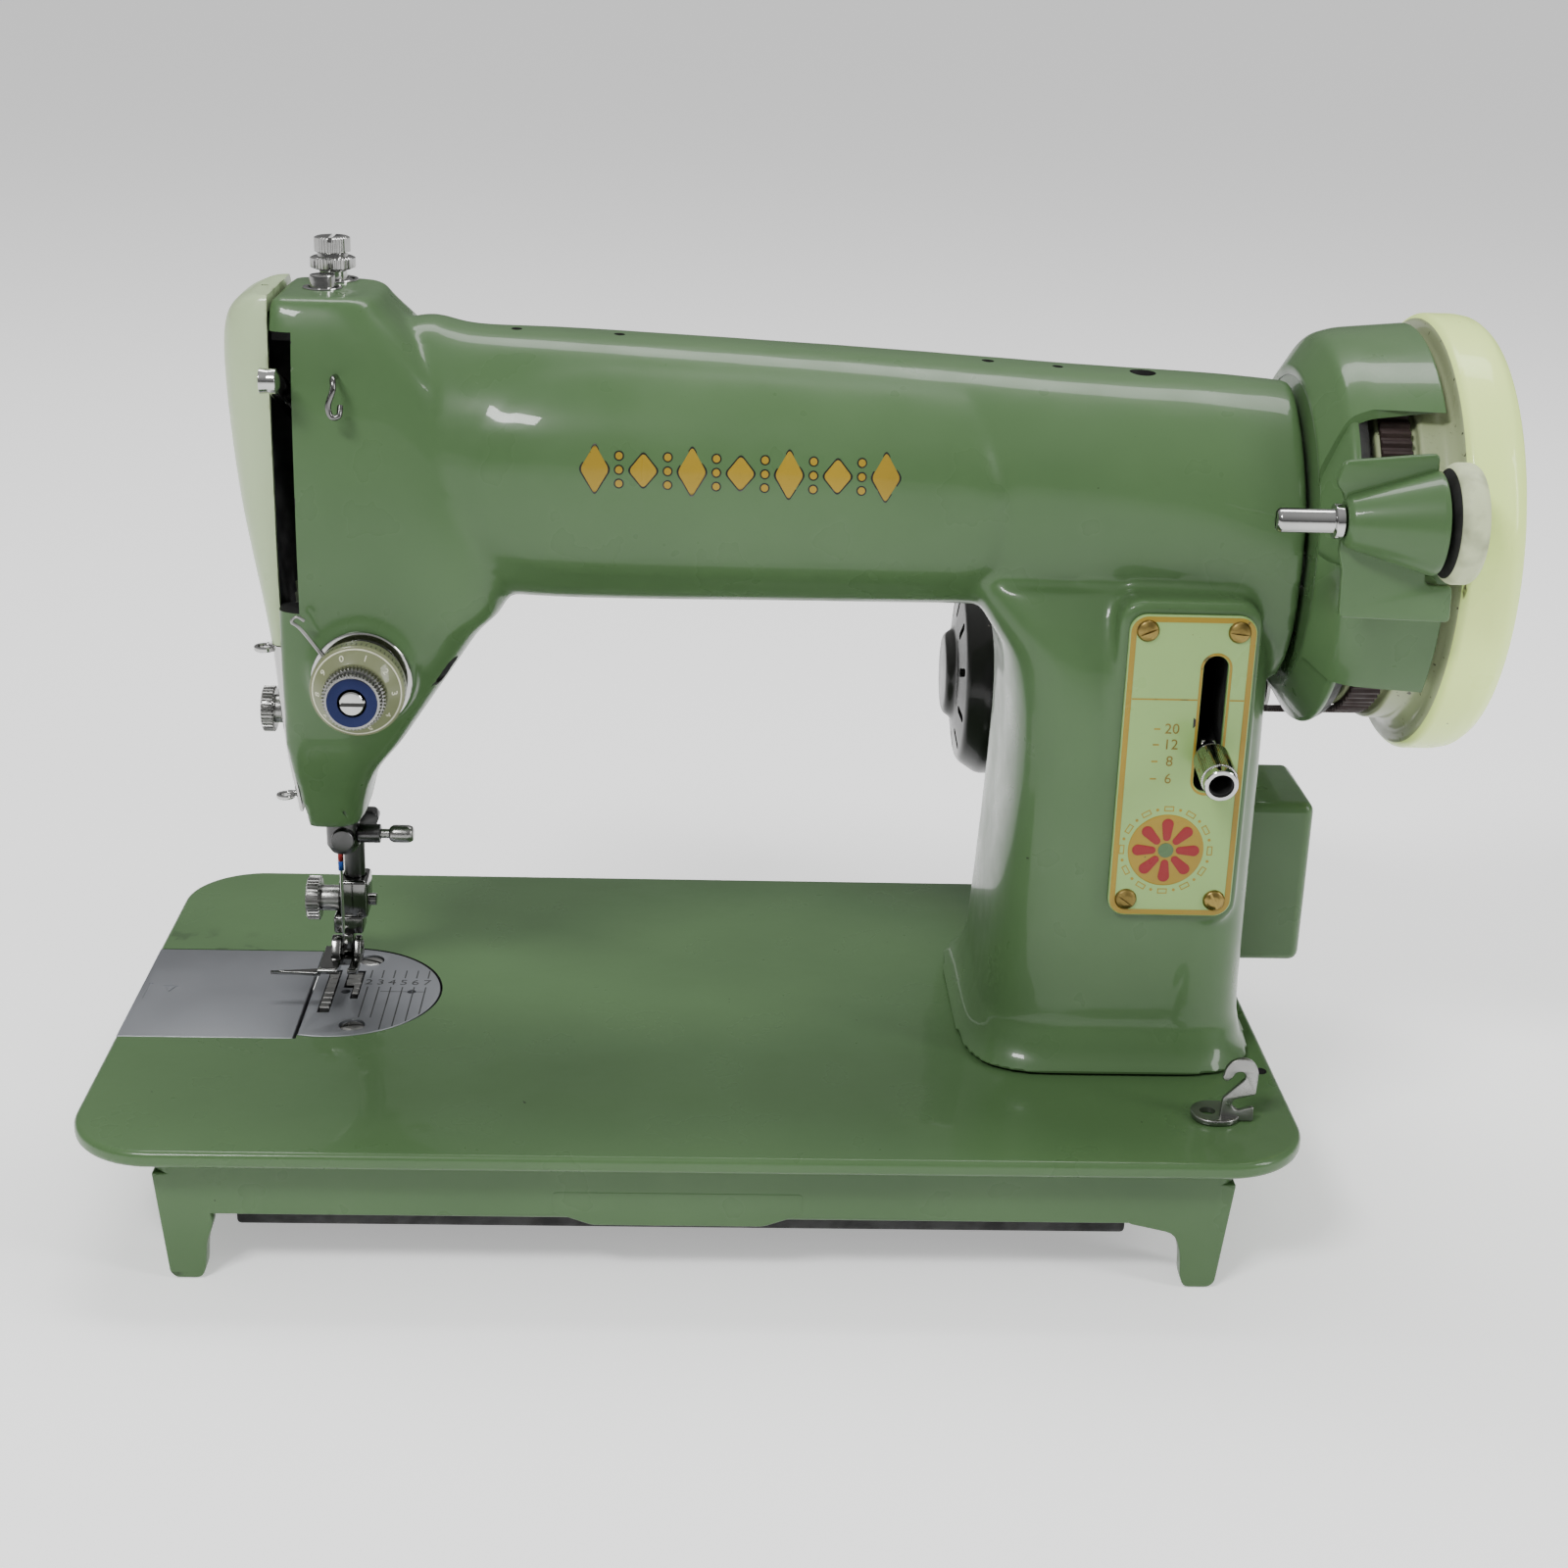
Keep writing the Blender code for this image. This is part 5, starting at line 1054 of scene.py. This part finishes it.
def plates():
    at = (SCREW_FRONT, SCREW_BACK)
    plate = prism("plate", "Z", plate_outline(-0.3), BED_TOP - 2.5, BED_TOP, 0.25)
    cuts = [rod("needle_hole", "Z", (NEEDLE_X, NEEDLE_Y, 30), 20, 1.3, 0),
            block("slot", (-103.6, -100.3), (-10.2, 17.4), (30, 45), 0),
            block("slot_2", (-98.5, -93.7), (5.6, 17), (30, 45), 0),
            block("slot_3", (-95.9, -93.7), (-1.3, 6), (30, 45), 0),
            rod("hole", "Z", (-79.3, 3.6, BED_TOP - 1), 3, 1.2, 0)]
    for spot in at:
        cuts.append(lathe("sink", "Z", (spot.x, spot.y, 0),
                          [(36, 0), (36, 2), (38.4, 2), (38.4, 3.5), (41, 3.6),
                           (41, 0)], 0))
    cut(plate, *cuts)
    piece("plate_half_round", plate, PLATE_STEEL, "needle_plate")
    marks = []
    for i in range(6):
        line_x = -91.9 + 3.25 * i
        half = math.sqrt((PLATE_R - 0.3) ** 2 - (line_x - PLATE_X) ** 2) - 0.5
        spans = [(PLATE_Y - half, 6.6), (12.4, 17.5)]
        if i < 2:
            spans[0] = (-13, 6.6)
        for low, high in spans:
            if high < PLATE_Y + half:
                marks.append(block("line", (line_x - 0.19, line_x + 0.19), (low, high),
                                   (BED_TOP - 0.04, BED_TOP + 0.02), 0))
        marks.append(place(figure(str(i + 2), 4.6, 0.06), (line_x, 9.5, BED_TOP + 0.005)))
    marks.append(block("line", (-88, -76), (3.5, 3.75), (BED_TOP - 0.04, BED_TOP + 0.02), 0))
    piece("plate_numbers", gather("numbers", marks), INK)
    for name, spot in zip(("front", "back"), at):
        screw = lathe("screw", "Z", (spot.x, spot.y, 38.7),
                      [(1.2, 0), (1.1, 2.2), (0.8, 3.2), (0, 3.2), (0, 1.6), (-1, 1.6),
                       (-1, 0)], 0.2, 64)
        slot = block("slot", (spot.x - 4, spot.x + 4), (spot.y - 0.5, spot.y + 0.5), (39.2, 42), 0)
        turn = Matrix.Rotation(math.radians(12 if name == "front" else -25), 4, "Z")
        centre = Matrix.Translation((spot.x, spot.y, 0))
        slot.data.transform(centre @ turn @ centre.inverted())
        piece("plate_screw_" + name, cut(screw, slot), STEEL, "needle_plate_screw_" + name)
    slide = block("slide", (SLIDE_LOW.x, SLIDE_HIGH.x), (SLIDE_LOW.y, SLIDE_HIGH.y),
                  (SLIDE_LOW.z, SLIDE_HIGH.z), 0.3)
    mark = prism("mark", "Z", [(-148.6, 5.4), (-144.2, 5.4), (-146.4, 0.6)], BED_TOP - 0.15, 41,
                 0.01, [[(-147.7, 4.9), (-145.1, 4.9), (-146.4, 2)]])
    thumb = prism("thumb", "Z", soften([(-152.6, -3), (-151.6, -3), (-151.6, 7),
                                        (-152.6, 7)], 0.4, True), BED_TOP - 0.2, 41, 0.01)
    cut(slide, mark, thumb)
    piece("slide_plate_cover", slide, PLATE_STEEL, "slide_plate", body="slide")


# ------------------------------------------------------------------ stitch control


MEDAL_X, MEDAL_Z, RING_R = 120.3, 103.3, 11.4
SCALE = (("20", 136.2), ("12", 132), ("8", 127.5), ("6", 122.8))


def stitch_plate():
    front = PAD_Y - 1.8
    x0, x1, z0, z1 = STITCH_LOW.x, STITCH_HIGH.x, STITCH_LOW.z, STITCH_HIGH.z
    slot = arc(LEVER_X, 152.5, 3.2, 0, 180) + arc(LEVER_X, 122.5, 3.2, 180, 360)
    plate = prism("plate", "Y", rounded(x0, x1, z0, z1, 4.5), front, PAD_Y - 0.3, 0.3, [slot])
    screws = ((111, 162), (134, 162), (111, 89.5), (134, 89.5))
    piece("control_plate", plate, PLATE_PALE, "stitch_plate")
    rim = prism("rim", "Y", rounded(x0 + 0.3, x1 - 0.3, z0 + 0.3, z1 - 0.3, 4.2), front - 0.1,
                front + 0.1, 0.05, [rounded(x0 + 1.7, x1 - 1.7, z0 + 1.7, z1 - 1.7, 3)])
    outer = arc(LEVER_X, 152.5, 4, 0, 180) + arc(LEVER_X, 122.5, 4, 180, 360)
    inner = arc(LEVER_X, 152.5, 3.35, 0, 180) + arc(LEVER_X, 122.5, 3.35, 180, 360)
    edging = prism("edging", "Y", outer, front - 0.1, front + 0.1, 0.05, [inner])
    lines = [block("line", (x0 + 1.8, LEVER_X - 4.1), (front - 0.04, front + 0.1), (143.9, 144.3), 0),
             block("line", (LEVER_X + 4.1, x1 - 1.8), (front - 0.04, front + 0.1), (143.9, 144.3), 0)]
    for _, z in SCALE:
        lines.append(block("tick", (114.6, 116.2), (front - 0.04, front + 0.1), (z - 0.2, z + 0.2),
                           0))
    for i in range(24):
        turn = math.tau * i / 24
        spot = Vector((MEDAL_X + RING_R * math.cos(turn), 0, MEDAL_Z + RING_R * math.sin(turn)))
        if i % 2:
            lines.append(rod("dot", "Y", (spot.x, front - 0.05, spot.z), 0.12, 0.4, 0, 16))
            continue
        frame_mark = prism("frame", "Y", [(-0.7, -1.25), (0.7, -1.25), (0.7, 1.25), (-0.7, 1.25)],
                           front - 0.05, front + 0.07, 0.01,
                           [[(-0.45, -1), (0.45, -1), (0.45, 1), (-0.45, 1)]])
        lines.append(place(frame_mark, spot, -turn))
    piece("control_rim", gather("rim", [rim, edging, *lines]), GOLD)
    disc = lathe("disc", "Y", (MEDAL_X, 0, MEDAL_Z),
                 [(front - 0.12, 0), (front - 0.12, 9.6), (front + 0.1, 10),
                  (front + 0.1, 0)], 0.05)
    piece("medallion", disc, GOLD)
    petals = []
    for i in range(8):
        turn = math.tau * i / 8
        petal = prism("petal", "Y", stadium((0, 3.6), (0, 7.2), 1, 1.5), front - 0.22,
                      front - 0.1, 0.03)
        petals.append(place(petal, (MEDAL_X, 0, MEDAL_Z), turn))
    piece("medallion_petals", gather("petals", petals), RED)
    piece("medallion_heart", rod("heart", "Y", (MEDAL_X, front - 0.24, MEDAL_Z), 0.14, 2, 0.04),
          GREEN)
    numbers = []
    for text, z in SCALE:
        numbers.append(place(figure(text, 3.9, 0.08), (119.2, front - 0.02, z), math.pi / 2, "X"))
    piece("control_numbers", gather("numbers", numbers), BRASS)
    pointer = prism("pointer", "Y", [(124.4, 136.6), (126, 138), (124.4, 139.4)], front - 0.06,
                    front + 0.05, 0.01)
    piece("control_pointer", pointer, INK)
    for number, (x, z) in enumerate(screws, 1):
        screw = lathe("screw", "Y", (x, 0, z),
                      [(front + 0.4, 0), (front + 0.4, 2.9), (front, 2.9), (front - 0.7, 2.5),
                       (front - 1.2, 1.4), (front - 1.35, 0)], 0.2, 64)
        slot_cut = block("slot", (-4, 4), (front - 2, front - 0.7), (-0.35, 0.35), 0)
        place(slot_cut, (x, 0, z), -0.9 + 0.5 * number)
        piece("control_screw_%d" % number, cut(screw, slot_cut), BRASS)


def stitch_lever():
    """Drawn upright from the pin, then laid down to the front."""
    arm = prism("arm", "X", stadium((0, 0), (0, 44), 6, 2.6), LEVER_X - 2,
                LEVER_X + 2, 0.4, [circle(0, 0, 2.4)])
    neck = rod("neck", "Z", (LEVER_X, 0, 40), 11, 2.4)
    join(arm, neck)
    cone = lathe("cone", "Z", (LEVER_X, 0, 0),
                 [(47, 0), (47, 2.6), (50.4, 4.2), (51, 4.6), (51, 0)], 0.3, 96)
    grip = knurl("grip", "Z", (LEVER_X, 0, 0), (51, 62), 4.6, 0, teeth=56, depth=0.18, edge=0.2)
    end = lathe("end", "Z", (LEVER_X, 0, 0), [(61.8, 0), (61.8, 4.3), (65, 4.3), (65, 0)], 0.5)
    join(grip, cone, end)
    cut(grip, rod("bore", "Z", (LEVER_X, 0, 52), 20, 3.2, 0))
    # A black lining in the grip's bore: painted shade.
    bore = tube("bore", "Z", (LEVER_X, 0, 0), (52.1, 64), 2.9, 3.15, 0.02)
    lay = (Matrix.Translation((0, LEVER_Y, LEVER_Z))
           @ Matrix.Rotation(math.pi / 2 + LEVER_REST, 4, "X"))
    for thing in (arm, grip, bore):
        thing.data.transform(lay)
    piece("stitch_lever_arm", join(arm, grip), CHROME, "stitch_lever", body="stitch_control")
    piece("stitch_lever_bore_shade", bore, BLACK_AND_SHADE, body="stitch_control")


# ------------------------------------------------------------------ wheel, belt and guard


def off_shaft(spot):
    """How far a spot is from the arm shaft's axis."""
    return math.hypot(spot.y - ARM_Y, spot.z - ARM_Z)


def guard():
    profile = soften([(152, 40), (158.5, 49.6), (163, 51), (181, 52.6), (181, 54.4),
                      (163, 52.8), (157.6, 51.2), (151.6, 42.4)], 2.2, True, 5)
    start, sweep, steps = 35, 178, 150
    rows = []
    for i in range(steps + 1):
        turn = math.radians(start + sweep * i / steps)
        rows.append([(x, ARM_Y + r * math.cos(turn), ARM_Z + r * math.sin(turn))
                     for x, r in profile])
    shell = skin("guard", rows)
    cut(shell, prism("window", "Y", rounded(150, 195, 181, 217, 5), -80, -30, 0.01))
    lug = rounded(PIN_Y - 3.8, -40, PIN_Z - 3.8, PIN_Z + 3.8, 3.5)
    join(shell, prism("lug", "X", lug, 158.5, 161.5, 0.3), prism("lug", "X", lug, 174, 177, 0.3))
    cut(shell, rod("bore", "X", (150, PIN_Y, PIN_Z), 40, 2.4, 0),
        rod("inside", "X", (157.8, ARM_Y, ARM_Z), 30, 49.9, 0, 160))
    join(shell, lathe("back", "X", (0, ARM_Y, ARM_Z),
                      [(163, 14), (163, 48.5), (159.5, 50.6), (158, 50), (152.2, 41),
                       (152.2, 14)], 0.8, 160))
    piece("guard_shell", shell, GREEN, "belt_guard")
    # The guard's inside faces round the belt are painted black: painted shade.
    repaint(shell, BLACK_AND_SHADE, lambda spot, normal: spot.x > 158.2 and off_shaft(spot) < 50.05)


def handwheel():
    at = (0, ARM_Y, ARM_Z)
    outline = [
        (166, 6.3), (190, 6.3), (190, 24), (191, 33), (192, 42), (198.6, 50),
        (200, 51.5), (199.3, 54.2), (196.5, 56.4), (193, 57), (185.5, 57),
        (184, 55.5), (183.5, 51.5), (181.6, 49), (175.3, 49), (175.3, 45.7),
        (165.4, 45.7), (165.4, 40), (174, 36), (174, 14), (166, 14),
    ]
    wheel = piece("wheel_rim", lathe("wheel", "X", at, outline, 1.2, 224, 5), PALE, "handwheel",
                  body="wheel")
    # The wheel's inner side takes a darker enamel: partly real grime, partly painted shade from the
    # guard's shadow.
    repaint(wheel, PALE_GRIME_AND_SHADE, lambda spot, normal: spot.x < 184.3 and off_shaft(spot) < 55.6)
    knob = knurl("knob", "X", at, (190.4, 197), 21, teeth=56, depth=0.7, edge=1)
    cut(knob, lathe("dish", "X", at, [(199, 0), (199, 16.5), (196.4, 15.5), (195.5, 12),
                                      (195.5, 0)], 0.6))
    join(knob, lathe("centre", "X", at, [(194.6, 0), (194.6, 4.6), (196.4, 4.2), (196.8, 3.4),
                                         (196.8, 0)], 0.3))
    cut(knob, block("slot", (196, 199), (ARM_Y - 6, ARM_Y + 6), (ARM_Z - 0.6, ARM_Z + 0.6), 0))
    piece("stop_motion_disc", knob, CHROME, "stop_motion_knob", body="clutch_knob")


def belt():
    """The belt's loop, with its cross ribs standing outwards."""
    dy, dz = MOTOR_Y - ARM_Y, MOTOR_Z - ARM_Z
    apart = math.hypot(dy, dz)
    way = math.degrees(math.atan2(dz, dy))
    pitch = 2.9

    def loop(big, small, big_steps, small_steps, side_steps):
        lean = math.degrees(math.acos((big - small) / apart))
        wide = arc(ARM_Y, ARM_Z, big, way + lean, way + 360 - lean, big_steps)
        narrow = arc(MOTOR_Y, MOTOR_Z, small, way - lean, way + lean, small_steps)
        points = wide[:]
        for a, b, rest in ((wide[-1], narrow[0], narrow), (narrow[-1], wide[0], [])):
            points += [(a[0] + (b[0] - a[0]) * k / side_steps, a[1] + (b[1] - a[1]) * k / side_steps)
                       for k in range(1, side_steps)] + rest
        return points

    around = math.pi * 46 * 1.3
    counts = (round(around / pitch) * 4, 40, round(apart / pitch) * 4)
    outer = loop(48, 10.3, *counts)
    valley = loop(47.1, 9.4, *counts)
    inner = loop(46, 8.3, *counts)
    ribbed = [peak if i % 4 < 2 else low for i, (peak, low) in enumerate(zip(outer, valley))]
    centre_x, wide = 170, 7.6
    band = prism("belt", "X", ribbed, centre_x - wide / 2, centre_x + wide / 2, 0.15, [inner], 1)
    piece("belt_loop", band, BELT, "motor_belt")


def motor():
    at = (0, MOTOR_Y, MOTOR_Z)
    profile = [(158, 0), (158, 15), (154, 17), (152, 27), (147, 31),
               (144, 31), (143.6, 30.5), (143, 30.5), (142.6, 31), (92.4, 31),
               (92, 30.5), (91.4, 30.5), (91, 31), (86, 31), (80, 27), (78, 14),
               (75, 12), (75, 0)]
    housing = lathe("motor", "X", at, profile, 1.6, 128, 4)
    join(housing, block("bracket", (96, 128), (45.4, 76), (93, 117), 2.4))
    slots = [rod("bore", "X", (148, MOTOR_Y, MOTOR_Z), 20, 3.9, 0)]
    for i in range(10):
        slot = prism("slot", "X", rounded(-1.3, 1.3, 18, 24.6, 1.2, 6), 70, 82, 0.01)
        slots.append(place(slot, at, math.tau * i / 10, "X"))
    cut(housing, *slots)
    piece("motor_shell", housing, BLACK, "motor_housing")
    bolts = []
    for z in (MOTOR_Z - 5, MOTOR_Z + 6):
        bolt = rod("bolt", "X", (93.8, 60, z), 3, 3.2, 0.4)
        bolts.append(cut(bolt, block("slot", (93, 94.6), (56, 64), (z - 0.5, z + 0.5), 0)))
    piece("motor_bolts", gather("bolts", bolts), STEEL)
    pulley = lathe("pulley", "X", at, [(176, 0), (176, 10), (174.6, 10), (174.2, 8),
                                       (165.8, 8), (165.4, 10), (164, 10), (164, 3.5),
                                       (149, 3.5), (149, 0)], 0.3)
    piece("pulley_drive", pulley, STEEL, "motor_pulley", body="motor_rotor")


def winder():
    at = (0, WINDER_Y, WINDER_Z)
    frame_part = lathe("cone", "X", at, [(173, 3.6), (173, 12.4), (171.8, 12.4), (152, 6.2),
                                         (151, 5.2), (151, 3.6)], 0.5, 128)
    outline = [(152.6, 172.4), (179.6, 171.6), (179.2, 180.6), (172.4, 181), (172, 190),
               (169, 205), (172.6, 207), (172.4, 212.6), (150, 210.4), (148.6, 205),
               (151, 202), (151, 188), (152.2, 184)]
    plate = prism("plate", "Y", soften(outline, 1.4, True), -59, -56.9, 0.5)
    join(frame_part, plate, rod("barrel", "X", (161.8, PIN_Y, PIN_Z), 10.6, 3.7, 0.3),
         block("web", (162.4, 173.2), (-57.6, -54.2), (173.4, 179.6), 0.5))
    cut(frame_part, rod("bore", "X", (150, PIN_Y, PIN_Z), 40, 2.4, 0),
        rod("bore", "X", (146, WINDER_Y, WINDER_Z), 30, 3.3, 0))
    piece("winder_cone", frame_part, GREEN, "winder_frame", body="winder_arm")
    spindle = lathe("spindle", "X", at,
                    [(183.4, 0), (183.4, 2.9), (150.6, 2.9), (150.6, 4.2), (148.4, 4.2),
                     (148.4, 2.9), (135.6, 2.9), (134.8, 2.2), (134.8, 0)], 0.4)
    cut(spindle, block("slot", (134, 142), (WINDER_Y - 0.4, WINDER_Y + 0.4),
                       (WINDER_Z - 4, WINDER_Z + 4), 0))
    piece("winder_shaft", spindle, CHROME, "winder_spindle", body="winder_wheel")
    tyre = lathe("tyre", "X", at, [(181.6, 3.2), (182.4, 10), (181.8, 13.4), (180.4, 14.4),
                                   (176.8, 14.4), (175.4, 13.4), (174, 9), (174, 3.2)], 1.2,
                 128, 5)
    ring = piece("winder_ring", tyre, TYRE, "winder_tyre", body="winder_wheel")
    repaint(ring, BLACK_AND_SHADE, lambda spot, normal: spot.x < 175.3)


def terminal_box():
    cover = block("cover", (152.4, 174.5), (21, 56), (45, 94), 3, 5)
    join(cover, block("base", (149.6, 153), (19, 58), (44, 98), 1))
    cut(cover, prism("recess", "X", rounded(26.5, 50.5, 51, 85, 2), 164, 180, 0.01))
    piece("terminal_cover", cover, GREEN, "terminal_box")
    liner = prism("liner", "X", rounded(26.9, 50.1, 51.4, 84.6, 1.8), 164.02, 173.6, 0.2,
                  [rounded(28.4, 48.6, 52.9, 83.1, 1.2)])
    floor_plate = prism("floor", "X", rounded(28, 49, 52.5, 83.5, 1.2), 164.02, 165.6, 0.1)
    piece("terminal_liner", gather("liner", [liner, floor_plate]), BLACK_AND_SHADE)
    pins = [rod("pin", "X", (165.7, 38.5, z), 7, 1.9, 0.6) for z in (58, 68, 78)]
    piece("terminal_pins", gather("pins", pins), BRASS)


def bore_collars():
    """Short collars round the bars and holes of the head, as on the real casting."""
    rings = [tube("ring", "Z", (BAR_X, BAR_Y, 0), (HEAD_TOP - 0.6, HEAD_TOP + 0.4), 3.62, 5),
             tube("ring", "Z", (PRESSER_X, PRESSER_Y, 0), (HEAD_TOP - 0.6, HEAD_TOP + 0.5), 5.45,
                  6.4)]
    piece("head_collars", gather("rings", rings), CHROME)


FLOOR_HALF, FLOOR_DROP, FLOOR_GLOW = 20, 0.0002, 0.45
SKY_DARK, SKY_LIGHT, SKY_TOP = 0.10, 0.6, 0.9
AIM = Vector((0, 0, 0.12))
# Studio lights, in metres and watts: name, place, size, power
LIGHTS = (
    ("key", (-0.6, -0.9, 1.2), (0.42, 0.22), 17),
    ("fill", (1.2, -0.6, 0.75), (0.25, 0.8), 9),
    ("top", (0.1, 0.5, 1.5), (1.4, 0.4), 17),
)
# The photographer's place in the machine's millimetres, angles and lens
VIEW_PLACE = Vector((-0.37, -610.09, 333.69))
VIEW_YAW, VIEW_PITCH, VIEW_ROLL = math.radians(2.198), math.radians(20.508), 0.0304
LENS, SENSOR = 55.33, 36


def stage():
    grid = bmesh.new()
    bmesh.ops.create_grid(grid, x_segments=1, y_segments=1, size=FLOOR_HALF)
    floor = make("floor", grid)
    floor.location.z = -FLOOR_DROP
    paint = Look("floor_white", (0.88, 0.88, 0.88), roughness=0.9)
    fill(paint.shader, Emission_Color=(1, 1, 1, 1), Emission_Strength=FLOOR_GLOW)
    floor.data.materials.append(paint.material)
    world = bpy.data.worlds.new("studio")
    world.use_nodes = True
    nodes, links = world.node_tree.nodes, world.node_tree.links
    split = nodes.new("ShaderNodeSeparateXYZ")
    links.new(nodes.new("ShaderNodeTexCoord").outputs["Generated"], split.inputs["Vector"])
    sky = nodes.new("ShaderNodeMapRange")
    fill(sky, From_Min=0, From_Max=SKY_TOP, To_Min=SKY_DARK, To_Max=SKY_LIGHT)
    links.new(split.outputs["Z"], sky.inputs["Value"])
    links.new(sky.outputs["Result"], nodes["Background"].inputs["Strength"])
    fill(nodes["Background"], Color=(1, 1, 1, 1))
    bpy.context.scene.world = world
    for name, spot, size, power in LIGHTS:
        light = bpy.data.lights.new(name, "AREA")
        light.shape = "RECTANGLE"
        light.size, light.size_y = size
        light.energy = power
        lamp = bpy.data.objects.new(name, light)
        lamp.location = spot
        lamp.rotation_euler = (AIM - Vector(spot)).to_track_quat("-Z", "Y").to_euler()
        bpy.context.scene.collection.objects.link(lamp)


def camera():
    ahead = Vector((math.sin(VIEW_YAW) * math.cos(VIEW_PITCH),
                    math.cos(VIEW_YAW) * math.cos(VIEW_PITCH), -math.sin(VIEW_PITCH)))
    right = ahead.cross(Vector((0, 0, 1))).normalized()
    up = right.cross(ahead)
    side = right * math.cos(VIEW_ROLL) + up * math.sin(VIEW_ROLL)
    top = up * math.cos(VIEW_ROLL) - right * math.sin(VIEW_ROLL)
    lens = bpy.data.cameras.new("camera")
    lens.sensor_width = SENSOR
    lens.lens = LENS
    view = bpy.data.objects.new("camera", lens)
    matrix = Matrix((side, top, -ahead)).transposed().to_4x4()
    matrix.translation = TO_FRAME @ VIEW_PLACE
    view.matrix_world = matrix
    bpy.context.scene.collection.objects.link(view)
    bpy.context.scene.camera = view


camera()
stage()
arm_shell()
bed_shell()
head_covers()
thread_guides()
tension_unit()
needle_group()
presser_group()
plates()
stitch_plate()
stitch_lever()
guard()
handwheel()
belt()
motor()
winder()
terminal_box()
bore_collars()
